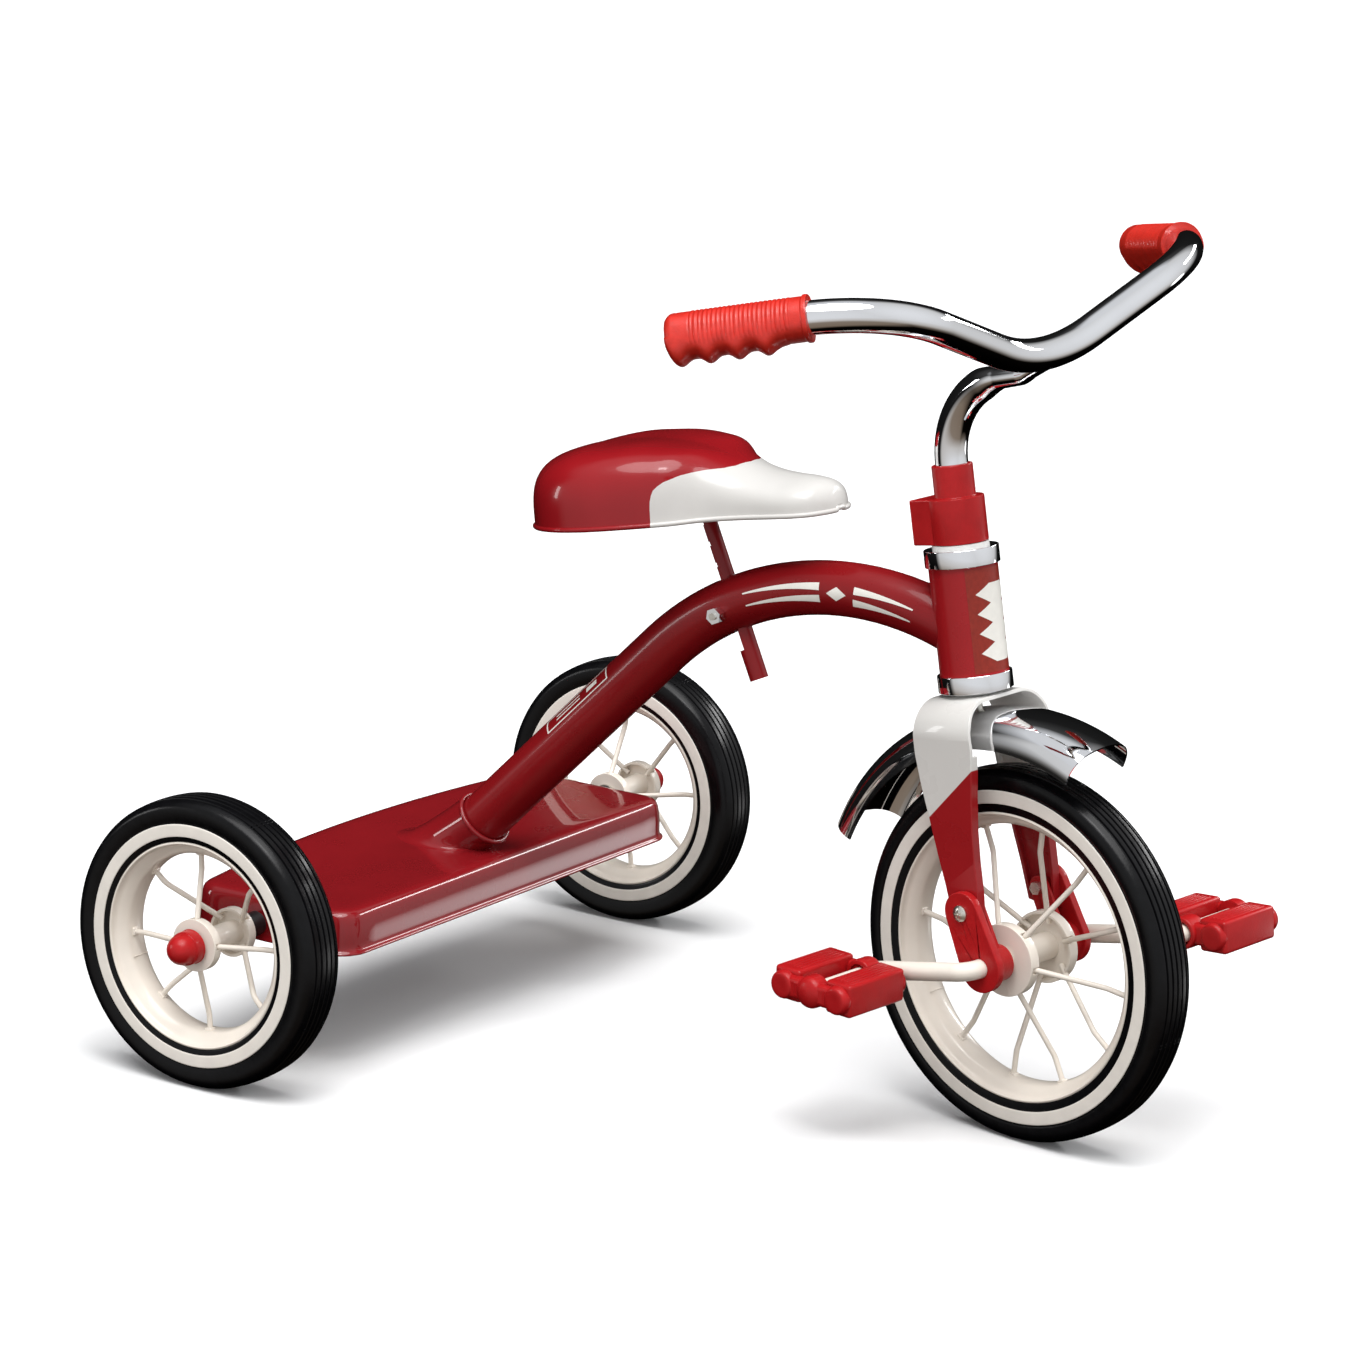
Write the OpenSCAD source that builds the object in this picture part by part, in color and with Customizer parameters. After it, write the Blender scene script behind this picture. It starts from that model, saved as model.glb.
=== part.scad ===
// Children's tricycle with a single bent main tube, a pressed rear deck, spoked wheels with
// moulded rubber tyres, an inclined steering head and direct pedals on the front wheel.
// +X points forward, +Y to the rider's left, +Z up. The origin is on the ground, under the middle
// of the bounding box. All lengths are in millimetres and all angles in degrees.

/* [Wheels] */
// Outer diameter of the front tyre
front_tyre_d = 254; // [250:1:257]
// Outer diameter of the rear tyres
rear_tyre_d = 200.8; // [196:0.4:204]
// Distance between the centre planes of the two rear wheels
rear_track = 512; // [504:1:524]
// Distance between the rear axle and the front axle with the steering straight
wheelbase = 488; // [484:1:492]
// Diameter of the wire used for the spokes
spoke_d = 3.8; // [3:0.2:4.4]
// Direction of the first spoke of the rear wheels
rear_spoke_angle = 4.4; // [0:0.2:20]
// Direction of the first spoke of the front wheel
front_spoke_angle = -16; // [-30:1:10]

/* [Frame] */
// Outer diameter of the main tube
main_tube_d = 37; // [36:0.5:38]
// Wall thickness of the main tube
main_tube_wall = 2; // [1.5:0.1:2.5]
// Radius of the arch of the main tube, on its centre line
arch_r = 217; // [213:1:221]
// Outer diameter of the head tube
head_tube_d = 46; // [44:0.5:48]
// Backward lean of the steering axis
head_lean = 10.2; // [9.5:0.1:11]
// Half width of the rear deck at its lip
deck_half_width = 202; // [190:1:204]
// Thickness of the sheet of the rear deck
deck_sheet = 1.6; // [1.2:0.1:2]

/* [Steering] */
// Resting turn of the steering, negative to the rider's right
steer_rest = -10.5; // [-14:0.5:14]
// Outer diameter of the handlebar tube
handlebar_d = 22; // [21:0.5:22.5]
// Direction of the right crank arm, 180 being straight backwards
crank_angle = 191; // [0:1:359]
// Distance from the front axle to a pedal spindle
crank_length = 75; // [70:1:80]

/* [Seat] */
// Height of the seat above its resting place, along the post
seat_lift = 0; // [-12:1:18]
// Diameter of the seat post
seat_post_d = 13; // [12.6:0.1:13]

/* [Hidden] */
$fn = 48;
eps = 0.01;
fit = 0.1;
joint_gap = 0.3;

// Longitudinal position of the rear axle, which centres the bounding box on the origin
rear_x = -258.76;
rear_axle_z = rear_tyre_d / 2;
front_axle_z = 126.98;

// Steering axis: a point on it, its direction and the places of the cups along it
head_x = 430;
head_z = 345;
cup_end = 47.5;
upper_flange = 3;
cup_h = 11.5;
cup_wall = 2;
head_tube_id = head_tube_d - 5;
steerer_d = 25.4;
steerer_id = 22.2;
bushing_d = 30;

// Front axle in the frame of the steering axis
wheel_dx = (wheelbase - head_x) * cos(head_lean) + (front_axle_z - head_z) * sin(head_lean);
wheel_dz = -(wheelbase - head_x) * sin(head_lean) + (front_axle_z - head_z) * cos(head_lean);

// Main tube centre line: a straight run at main_rise, then the arch
main_rise = 45;
arch_x = 346.2;
arch_z = 350.3 - arch_r;
arch_end = 18;
arch_tip = 6;
arch_setback = arch_r * tan((main_rise + arch_end) / 2);
run_x = arch_x - arch_r * sin(main_rise);
run_z = arch_z + arch_r * cos(main_rise);
tube_foot_z = 120;
tube_foot_x = run_x - (run_z - tube_foot_z) / tan(main_rise);

// Rear deck
deck_top = 118;
deck_bottom = 88;
deck_front = 76;
deck_back = -64;
deck_bow = 16;
deck_corner = 22;
lip = 2.5;

// Rear wheel and its hub; distances along the axle are from the centre plane of the wheel
rear_rim_r = 71.5;
rear_well_r = 61;
rear_tyre_half = 18.5;
rear_hub_out = 15;
rear_hub_in = 31;
rear_hub_d = 16;
rear_hub_id = 13;
axle_d = 9.5;

// Front wheel and its hub
front_rim_r = 98.4;
front_well_r = 88;
front_tyre_half = 17.5;
front_hub_half = 26;
front_hub_d = 19;
crank_d = 12.7;

// Fork
fork_sheet = 2.5;
leg_y = 42;
crown_top = -cup_end - 2 - joint_gap;
crown_bend = 24;
channel_depth = 7;
bracket_screw = [7.5, -188.2];

// Seat post, perpendicular to the main tube where it passes through it
post_lean = 24.2;
post_x = 247.9;
post_z = 326.7;
post_top = 106;
post_bottom = -54;
bolt_back = 3;
bolt_low = 4;
clamp_bolt_d = 5;

// Seat pan stations: distance forward, half width, height of the crown, height of the middle
seat_tilt = 8.8;
seat_x = 195;
seat_z = 383;
seat_sheet = 1.6;
seat_stations = [
    [-85, 16, 24, 24],
    [-81, 42, 36.5, 35.5],
    [-73, 59, 46, 43.5],
    [-58, 73, 52.5, 48],
    [-39, 80, 57.5, 51],
    [-18, 80, 58.5, 51],
    [2, 74, 58.5, 50.5],
    [20, 66, 56.5, 48.5],
    [36, 57, 53, 44.5],
    [51, 43, 43, 39.5],
    [68, 36, 33, 33],
    [84, 33, 27, 28],
    [100, 32, 23, 25],
    [114, 30, 21.5, 23],
    [125, 25, 19, 20],
    [132, 15, 14, 15]
];

// Handlebar: lowest point of its polyline, outer corner and grip direction
bar_low = [484, 0, 521];
bar_corner = [492, 160, 583];
grip_dir = [-0.834, 0.52, -0.184];
bar_low_bend = 130;
bar_corner_bend = 85;
grip_start = 49;
grip_len = 91;

// Handlebar stem corner and tip
stem_corner = [402.7, 0, 496.7];
stem_tip = [490, 0, 523.4];
stem_bend = 55;

// Pedals
pedal_y = 72;
pedal_len = 63;
pedal_w = 66.55;
pedal_h = 23;
pedal_tilt_right = 0;
pedal_tilt_left = 5;
spindle_d = 11;

red_paint = [0.62, 0.05, 0.07];
red_plastic = [0.72, 0.07, 0.06];
cream = [0.93, 0.89, 0.80];
white = [0.94, 0.93, 0.91];
black = [0.05, 0.05, 0.05];
chrome = [0.80, 0.82, 0.84];
zinc = [0.70, 0.71, 0.70];

// ---------------------------------------------------------------------------------------------
// Placing helpers

// From distances measured at the rear axle to the origin of the part
module from_rear() {
    translate([rear_x, 0, 0]) children();
}

// Straight steering: the frame of the steering axis, z along the axis and x forward
module head_frame() {
    from_rear() translate([head_x, 0, head_z]) rotate([0, -head_lean, 0]) children();
}

// The same frame turned by the resting turn of the steering
module steered() {
    head_frame() rotate([0, 0, steer_rest]) children();
}

// Steered pieces given in straight-steering distances from the rear axle
module steered_from_rear() {
    steered() rotate([0, head_lean, 0]) translate([-head_x, 0, -head_z]) children();
}

// Front axle, z along it to the rider's right
module front_axle() {
    steered() translate([wheel_dx, 0, wheel_dz]) rotate([90, 0, 0]) children();
}

// Centre of a rear wheel, z to the rider's right; side is 1 for the right wheel, -1 for the left
module rear_wheel(side) {
    from_rear() translate([0, -side * rear_track / 2, rear_axle_z]) rotate([90, 0, 0]) children();
}

// Outboard direction of a rear wheel turned to +z
module outboard(side) {
    mirror([0, 0, side > 0 ? 0 : 1]) children();
}

// Seat post axis, z up along it, at the middle of the main tube
module post_frame() {
    from_rear() translate([post_x, 0, post_z]) rotate([0, -post_lean, 0]) children();
}

// Axis of the seat clamp bolt, z to the rider's right
module clamp_axis() {
    post_frame() translate([-bolt_back, 0, -bolt_low]) rotate([90, 0, 0]) children();
}

// Pieces that move with the seat
module seat_frame() {
    translate([-sin(post_lean) * seat_lift, 0, cos(post_lean) * seat_lift]) children();
}

function unit(v) = v / norm(v);

// Angles that turn the axes onto the orthonormal directions ex, ey, ez
function basis(ex, ey, ez) = abs(ex[2]) > 0.999999
    ? [atan2(-sign(ex[2]) * ey[0], ey[1]), -90 * sign(ex[2]), 0]
    : [atan2(ey[2], ez[2]), asin(-ex[2]), atan2(ex[1], ex[0])];

// Round bar from p to q
module rod(p, q, d) {
    u = unit(q - p);
    translate(p) rotate([0, acos(u[2]), atan2(u[1], u[0])]) cylinder(h = norm(q - p), d = d);
}

// Length lost at a corner of the polyline to a bend of radius r
function setback(a, b, c, r) = r * tan(acos(unit(b - a) * unit(c - b)) / 2);

// Bend of radius r at the corner b of the polyline a, b, c; it laps a little into both rods and is
// drawn a hair thinner than they are, so that the two never share a surface
module elbow(a, b, c, r, d) {
    lap = 0.5 / r * 180 / PI;
    thin = 0.04;
    u = unit(b - a);
    v = unit(c - b);
    n = unit(cross(u, v));
    turn = acos(u * v);
    out = cross(u, n);
    start = b - setback(a, b, c, r) * u;
    translate(start - r * out) rotate(basis(out, u, cross(out, u))) rotate([0, 0, -lap])
        rotate_extrude(angle = turn + 2 * lap) translate([r, 0]) circle(d = d - thin);
}

// Bar bent along a polyline, with one bend radius for each inner corner
module bent_bar(pts, radii, d) {
    last = len(pts) - 1;
    for (i = [0 : last - 1]) {
        u = unit(pts[i + 1] - pts[i]);
        cut_a = i == 0 ? 0 : setback(pts[i - 1], pts[i], pts[i + 1], radii[i - 1]);
        cut_b = i == last - 1 ? 0 : setback(pts[i], pts[i + 1], pts[i + 2], radii[i]);
        rod(pts[i] + cut_a * u, pts[i + 1] - cut_b * u, d);
    }
    for (i = [1 : last - 1]) {
        elbow(pts[i - 1], pts[i], pts[i + 1], radii[i - 1], d);
    }
}

// Slab round two circles given as [x, y, r]
module link(a, b, h) {
    dx = b[0] - a[0];
    dy = b[1] - a[1];
    run = sqrt(dx * dx + dy * dy);
    lean = atan2(dy, dx);
    side = acos((a[2] - b[2]) / run);
    translate([a[0], a[1], 0]) cylinder(h = h, r = a[2]);
    translate([b[0], b[1], 0]) cylinder(h = h, r = b[2]);
    linear_extrude(h) polygon([
        for (s = [[a, side], [a, -side], [b, -side], [b, side]])
            [s[0][0] + s[0][2] * cos(lean + s[1]), s[0][1] + s[0][2] * sin(lean + s[1])]
    ]);
}

// Hexagonal nut or head, af across its flats
module hex(af, h) {
    cylinder(h = h, d = af / cos(30), $fn = 6);
}

// ---------------------------------------------------------------------------------------------
// Frame

// Straight run and arch of the main tube, filled to diameter d
module main_run(d) {
    from_rear() bent_bar([
        [tube_foot_x, 0, tube_foot_z],
        [run_x + arch_setback * cos(main_rise), 0, run_z + arch_setback * sin(main_rise)],
        [
            arch_x + arch_r * sin(arch_end) + arch_tip * cos(arch_end), 0,
            arch_z + arch_r * cos(arch_end) - arch_tip * sin(arch_end)
        ]
    ], [arch_r], d);
}

module frame_tube() {
    color(red_paint) difference() {
        main_run(main_tube_d);
        main_run(main_tube_d - 2 * main_tube_wall);
        head_frame() cylinder(h = 200, d = head_tube_d, center = true);
        post_frame() cylinder(h = 80, d = seat_post_d + 2 * fit, center = true);
        clamp_axis() cylinder(h = 60, d = clamp_bolt_d + 2 * fit, center = true);
    }
}

module head_tube() {
    tube_end = cup_end - cup_wall - 0.5;
    color(red_paint) head_frame() difference() {
        cylinder(h = 2 * tube_end, d = head_tube_d, center = true);
        cylinder(h = 2 * tube_end + 2, d = head_tube_id, center = true);
    }
}

// Cup pressed over an end of the head tube, its face at cup_end
module cup() {
    difference() {
        translate([0, 0, cup_end - cup_h]) cylinder(h = cup_h, d = head_tube_d + 2 * cup_wall);
        translate([0, 0, cup_end - cup_h - 1]) cylinder(h = cup_h - cup_wall + 1, d = head_tube_d);
        cylinder(h = cup_end + 1, d = bushing_d);
    }
}

// Flanged bushing in a cup, its flange of the given height above the cup face
module bushing(flange_d, flange_h) {
    difference() {
        union() {
            translate([0, 0, cup_end - 14]) cylinder(h = 14 + flange_h, d = bushing_d);
            translate([0, 0, cup_end]) cylinder(h = flange_h, d = flange_d);
        }
        cylinder(h = cup_end + flange_h + 1, d = steerer_d + 2 * fit);
    }
}

module upper_cup() {
    color(chrome) head_frame() cup();
}

module lower_cup() {
    color(chrome) head_frame() mirror([0, 0, 1]) cup();
}

module upper_bushing() {
    color(white) head_frame() bushing(38, upper_flange);
}

module lower_bushing() {
    color(white) head_frame() mirror([0, 0, 1]) bushing(34, 2);
}

// Outline of the deck drawn in by inset, with a bowed back edge and round corners
function deck_arc(cx, cy, r, from, to) = [
    for (k = [0 : 4]) [cx + r * cos(from + (to - from) * k / 4), cy + r * sin(from + (to - from) * k / 4)]
];

module deck_outline(inset) {
    c = deck_corner - inset;
    x1 = deck_front - deck_corner;
    x0 = deck_back + deck_corner;
    yc = deck_half_width - deck_corner;
    bow_steps = 8;
    polygon(concat(
        deck_arc(x1, -yc, c, -90, 0),
        deck_arc(x1, yc, c, 0, 90),
        deck_arc(x0, yc, c, 90, 170),
        [for (k = [1 : bow_steps - 1])
            let (y = yc * (1 - 2 * k / bow_steps))
            [deck_back + inset - deck_bow * (1 - pow(y / yc, 2)) - 3, y]],
        deck_arc(x0, -yc, c, 190, 270)
    ));
}

// Solid deck shape drawn in by inset and lowered by drop
module deck_solid(inset, drop) {
    hull() {
        translate([0, 0, deck_bottom - drop]) linear_extrude(eps) deck_outline(lip + inset);
        translate([0, 0, deck_top - 7 - drop]) linear_extrude(eps) deck_outline(lip + 1 + inset);
        translate([0, 0, deck_top - 2 - drop]) linear_extrude(eps) deck_outline(lip + 3.2 + inset);
        translate([0, 0, deck_top - eps - drop]) linear_extrude(eps) deck_outline(lip + 8 + inset);
    }
}

// Socket drawn up from the deck round the foot of the main tube
module deck_socket() {
    hull() {
        translate([tube_foot_x, 0, tube_foot_z]) rotate([0, 90 - main_rise, 0])
            translate([0, 0, 27]) cylinder(h = 3, d = main_tube_d + 5, $fn = 32);
        translate([-8, 0, deck_top - 3]) cylinder(h = 2, r = 17, $fn = 32);
        translate([36, 0, deck_top - 3]) cylinder(h = 2, r = 27, $fn = 32);
    }
}

module rear_deck() {
    color(red_paint) difference() {
        union() {
            from_rear() deck_solid(0, 0);
            from_rear() translate([0, 0, deck_bottom]) linear_extrude(deck_sheet) deck_outline(0);
            from_rear() deck_socket();
        }
        from_rear() deck_solid(deck_sheet, deck_sheet + eps);
        main_run(main_tube_d);
        rear_wheel(1) cylinder(h = 2000, d = axle_d + 1, center = true);
    }
}

// Hanger welded under the deck, which carries the axle
module axle_bracket() {
    half = 16;
    hang = rear_axle_z - 11;
    color(red_paint) difference() {
        union() {
            translate([-half, 184, hang]) cube([2 * half, 3, deck_top - deck_sheet - 0.1 - hang]);
            translate([-half, 166, deck_top - deck_sheet - 3.1]) cube([2 * half, 20, 3]);
        }
        translate([0, 200, rear_axle_z]) rotate([90, 0, 0]) cylinder(h = 60, d = axle_d + 0.1);
    }
}

module axle_bracket_right() {
    from_rear() mirror([0, 1, 0]) axle_bracket();
}

module axle_bracket_left() {
    from_rear() axle_bracket();
}

module rear_axle() {
    color(zinc) rear_wheel(1) translate([0, 0, -rear_track / 2])
        cylinder(h = rear_track + 54, d = axle_d, center = true);
}

// Spacer between the deck and the inner end of the hub
spacer_in = rear_track / 2 - deck_half_width - 1;
module axle_spacer(side) {
    color(black) rear_wheel(side) outboard(side) difference() {
        translate([0, 0, -spacer_in]) cylinder(h = spacer_in - rear_hub_in - 2.8, d = 17);
        cylinder(h = 200, d = axle_d + 0.1, center = true);
    }
}

module axle_spacer_right() {
    axle_spacer(1);
}

module axle_spacer_left() {
    axle_spacer(-1);
}

// Washer on a rear axle, its inner face at z
module axle_washer(z, h) {
    difference() {
        translate([0, 0, z]) cylinder(h = h, d = 18);
        translate([0, 0, z - 1]) cylinder(h = h + 2, d = axle_d + 0.1);
    }
}

module rear_washers() {
    color(zinc) for (side = [-1, 1]) rear_wheel(side) outboard(side) {
        axle_washer(-rear_hub_in - 2.8, 1.5);
        axle_washer(rear_hub_out + 1.3, 1.2);
    }
}

// Domed cap pushed on the end of the axle
module hub_cap(side) {
    base = rear_hub_out + 2.5;
    cap_r = 11.5;
    skirt = 8.5;
    color(red_plastic) rear_wheel(side) outboard(side) translate([0, 0, base]) difference() {
        union() {
            cylinder(h = skirt, r = cap_r);
            intersection() {
                translate([0, 0, skirt]) sphere(r = cap_r);
                cylinder(h = 40, r = cap_r + 1);
            }
        }
        translate([0, 0, -1]) cylinder(h = 12, d = axle_d + 0.1);
    }
}

module hub_cap_right() {
    hub_cap(1);
}

module hub_cap_left() {
    hub_cap(-1);
}

// ---------------------------------------------------------------------------------------------
// Wheels

// Half section of a tyre as [distance from the axle, distance from the centre plane]: inner face,
// bead ring, raised whitewall band, sidewall, shoulder and grooved tread
function tyre_half(bead, ring, band, r, half) = [
    [bead, half - 3.5], [bead, half - 2], [ring, half - 1.2], [ring, half - 0.3],
    [band, half - 0.3], [band, half - 0.8], [r - 12, half - 0.2], [r - 8, half],
    [r - 4, half - 1.2], [r - 1.2, half - 4.5], [r - 0.5, half * 0.6], [r - 1.9, half * 0.57],
    [r - 1.9, half * 0.48], [r - 0.2, half * 0.45], [r, half * 0.2], [r - 1.6, half * 0.17],
    [r - 1.6, half * 0.08], [r, half * 0.05]
];

module tyre_ring(bead, ring, band, r, half) {
    pts = tyre_half(bead, ring, band, r, half);
    n = len(pts);
    rotate_extrude() polygon(concat(
        pts,
        [for (k = [n - 1 : -1 : 0]) [pts[k][0], -pts[k][1]]]
    ));
}

// Drop-centre rim rolled from sheet: edge radius, well radius and half width
function rim_half(edge, well, half, t) = [
    [well + t, 0], [well + 0.6 + t, half * 0.35], [well + 3 + t, half * 0.62],
    [edge - 2.2, half * 0.84], [edge, half - 0.5]
];

module rim_ring(edge, well, half) {
    t = 1.4;
    out = rim_half(edge, well, half, t);
    lip_r = edge - t;
    n = len(out);
    inner = [for (p = out) [p[0] - t, p[1]]];
    rotate_extrude() polygon(concat(
        [for (k = [n - 1 : -1 : 1]) [out[k][0], -out[k][1]]],
        out,
        [[lip_r, half - 0.5]],
        [for (k = [n - 2 : -1 : 0]) inner[k]],
        [for (k = [1 : n - 2]) [inner[k][0], -inner[k][1]]],
        [[lip_r, -half + 0.5]]
    ));
}

// Wire spoke: from the flange at height z0, inward to the kink, then straight out to the rim
module spoke(r0, z0, r_kink, z_kink, r1) {
    lap = 1;
    u = unit([r_kink - r0, 0, z_kink - z0]);
    rod([r0, 0, z0], [r_kink, 0, z_kink] + lap * u, spoke_d);
    rod([r_kink - lap, 0, z_kink], [r1, 0, z_kink], spoke_d - 0.2);
}

module spoke_set(count, angle, r0, z0, r_kink, z_kink, r1) {
    for (k = [0 : count - 1]) rotate([0, 0, angle + k * 360 / count])
        spoke(r0, z0, r_kink, z_kink, r1);
}

// Pressed flange: disc, and a skirt towards the wheel centre with a slot for each spoke
module flange_disc(r, skirt, count, angle, bore) {
    sheet = 2;
    difference() {
        union() {
            cylinder(h = sheet, r = r);
            difference() {
                translate([0, 0, -skirt]) cylinder(h = skirt + eps, r = r);
                translate([0, 0, -skirt - 1]) cylinder(h = skirt + 1, r = r - sheet);
                for (k = [0 : count - 1]) rotate([0, 0, angle + k * 360 / count])
                    translate([0, -spoke_d / 2 - 0.4, -skirt - 1])
                        cube([r + 2, spoke_d + 0.8, skirt + 1]);
            }
        }
        translate([0, 0, -skirt - 1]) cylinder(h = skirt + sheet + 2, d = bore);
    }
}

module rear_tyre(side) {
    color(black) rear_wheel(side)
        tyre_ring(rear_rim_r + 0.1, 75.3, 84, rear_tyre_d / 2, rear_tyre_half);
}

module rear_rim(side) {
    color(cream) rear_wheel(side) rim_ring(rear_rim_r, rear_well_r, rear_tyre_half - 1.5);
}

// Spokes leave the flange on the rider's right at rear_spoke_angle and the other one between them
module rear_spokes(side) {
    out = rear_hub_out - 2 - spoke_d / 2 - eps;
    in = -rear_hub_in + 2 + spoke_d / 2 + eps;
    r0 = 12;
    kink = 50.5;
    right = side > 0 ? out : -in;
    left = side > 0 ? in : -out;
    color(cream) rear_wheel(side) {
        spoke_set(4, rear_spoke_angle, r0, right, kink, 2.2, rear_well_r);
        spoke_set(4, rear_spoke_angle + 45, r0, left, kink, -2.2, rear_well_r);
    }
}

module rear_hub(side) {
    skirt = 5;
    color(cream) rear_wheel(side) outboard(side) difference() {
        union() {
            translate([0, 0, -rear_hub_in]) cylinder(h = rear_hub_in + rear_hub_out, d = rear_hub_d);
            translate([0, 0, rear_hub_out - 2])
                flange_disc(18, skirt, 4, side > 0 ? rear_spoke_angle : rear_spoke_angle + 45, 10);
            translate([0, 0, -rear_hub_in + 2]) mirror([0, 0, 1])
                flange_disc(17, skirt, 4, side > 0 ? rear_spoke_angle + 45 : rear_spoke_angle, 10);
        }
        cylinder(h = 200, d = rear_hub_id, center = true);
    }
}

// Pair of flanged bushings in the ends of a hub
module rear_bushings(side) {
    flange_h = 1;
    bush_len = 10;
    color(white) rear_wheel(side) outboard(side) for (e = [[rear_hub_out, 0], [-rear_hub_in, 1]])
        translate([0, 0, e[0]]) mirror([0, 0, e[1]]) difference() {
            union() {
                cylinder(h = flange_h, d = 15);
                translate([0, 0, -bush_len]) cylinder(h = bush_len + eps, d = rear_hub_id - 0.02);
            }
            translate([0, 0, -bush_len - 1])
                cylinder(h = bush_len + flange_h + 2, d = axle_d + 2 * fit);
        }
}

module rear_tyre_right() {
    rear_tyre(1);
}

module rear_tyre_left() {
    rear_tyre(-1);
}

module rear_rim_right() {
    rear_rim(1);
}

module rear_rim_left() {
    rear_rim(-1);
}

module rear_spokes_right() {
    rear_spokes(1);
}

module rear_spokes_left() {
    rear_spokes(-1);
}

module rear_hub_right() {
    rear_hub(1);
}

module rear_hub_left() {
    rear_hub(-1);
}

module rear_bushings_right() {
    rear_bushings(1);
}

module rear_bushings_left() {
    rear_bushings(-1);
}

module front_tyre() {
    color(black) front_axle()
        tyre_ring(front_rim_r + 0.1, 104.2, 113.4, front_tyre_d / 2, front_tyre_half);
}

module front_rim() {
    color(cream) front_axle() rim_ring(front_rim_r, front_well_r, front_tyre_half - 1.2);
}

flange_z = 22;
module front_spokes() {
    z0 = flange_z - spoke_d / 2 - eps;
    color(cream) front_axle() {
        spoke_set(6, front_spoke_angle, 17, z0, 71, 2.2, front_well_r);
        spoke_set(6, front_spoke_angle + 30, 17, -z0, 71, -2.2, front_well_r);
    }
}

module front_hub() {
    color(cream) front_axle() difference() {
        cylinder(h = 2 * front_hub_half, d = front_hub_d, center = true);
        cylinder(h = 2 * front_hub_half + 2, d = crank_d + 0.04, center = true);
    }
}

module front_flange_right() {
    color(cream) front_axle() translate([0, 0, flange_z])
        flange_disc(24.5, 6, 6, front_spoke_angle, front_hub_d);
}

module front_flange_left() {
    color(cream) front_axle() translate([0, 0, -flange_z]) mirror([0, 0, 1])
        flange_disc(24.5, 6, 6, front_spoke_angle + 30, front_hub_d);
}

// ---------------------------------------------------------------------------------------------
// Crank and pedals

// Centre of the right pedal spindle direction, z to the rider's right; side -1 is the left one
module pedal_axis(side) {
    a = crank_angle - head_lean;
    front_axle() translate([side * crank_length * cos(a), side * crank_length * sin(a), 0]) children();
}

// Crank bent from one rod: axle through the hub, two opposite arms and a spindle on each
module crank() {
    a = crank_angle - head_lean;
    arm = [crank_length * cos(a), crank_length * sin(a), 0];
    arm_z = [0, 0, 59];
    rise = [0, 0, 7];
    end = arm + arm_z + [0, 0, 22];
    spindle_end = pedal_y + pedal_len - 5;
    color(cream) front_axle() {
        bent_bar(
            [-end, -arm - arm_z - rise, -arm_z, arm_z, arm + arm_z + rise, end],
            [9, 11, 11, 9], crank_d
        );
        for (s = [-1, 1]) translate(s * arm) mirror([0, 0, s > 0 ? 0 : 1])
            translate([0, 0, end[2] - 1]) cylinder(h = spindle_end - end[2] + 1, d = spindle_d);
    }
}

// Moulded pedal: two tread bars joined by end plates, with a boss for the spindle
module pedal_block() {
    rail = 22;
    boss_d = 22;
    plate = 11;
    groove = 2.4;
    difference() {
        union() {
            for (s = [-1, 1]) translate([s * (pedal_w - rail) / 2 - rail / 2, -pedal_h / 2, 0])
                cube([rail, pedal_h, pedal_len]);
            for (e = [0, pedal_len - plate]) translate([0, 0, e]) {
                translate([-pedal_w / 2, -pedal_h / 2 + 1, 0]) cube([pedal_w, pedal_h - 2, plate]);
                cylinder(h = plate, d = boss_d);
            }
            translate([0, 0, pedal_len - eps]) cylinder(h = 2.5, d = boss_d - 4);
        }
        for (s = [-1, 1]) for (t = [-1, 1]) for (k = [0, 1])
            translate([s * (pedal_w / 2 - 7 - k * 8) - groove / 2, t * pedal_h / 2 - groove / 2, 13])
                cube([groove, groove, pedal_len - 26]);
        translate([0, 0, -3]) cylinder(h = pedal_len, d = spindle_d + 2 * fit);
        translate([0, 0, -3]) cylinder(h = 13, d = crank_d + 3.2);
        translate([0, 0, pedal_len - 9]) cylinder(h = 6, d = 16);
    }
}

module pedal_body(side, tilt) {
    color(red_plastic) pedal_axis(side) rotate([0, 0, tilt - head_lean])
        mirror([0, 0, side > 0 ? 0 : 1]) translate([0, 0, pedal_y]) pedal_block();
}

module pedal_right() {
    pedal_body(1, pedal_tilt_right);
}

module pedal_left() {
    pedal_body(-1, pedal_tilt_left);
}

// Push-on cap that holds the pedal on its spindle
module pedal_cap(side) {
    color(zinc) pedal_axis(side) mirror([0, 0, side > 0 ? 0 : 1])
        translate([0, 0, pedal_y + pedal_len - 8]) difference() {
            cylinder(h = 4, d = 15);
            translate([0, 0, -1]) cylinder(h = 4, d = spindle_d);
        }
}

module pedal_cap_right() {
    pedal_cap(1);
}

module pedal_cap_left() {
    pedal_cap(-1);
}

// ---------------------------------------------------------------------------------------------
// Fork, fender and bearings

// Side view of the fork in the frame of the steering axis, drawn in by inset
module fork_side(inset) {
    i = inset;
    polygon([
        [-22 + i, crown_top + 1], [-23 + i, -72], [-22.9 + i, -84], [-20.4 + i, -105],
        [-16.6 + i, -126], [-12.6 + i, -150], [-8.5 + i, -172], [-5 + i, -197 + i],
        [17 - i, -203 + i], [18.7 - i, -175], [18.6 - i, -156], [19.6 - i, -135],
        [21.9 - i, -114], [24.5 - i, -96], [26 - i, -80], [25 - i, -64], [22 - i, crown_top + 1]
    ]);
}

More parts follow.
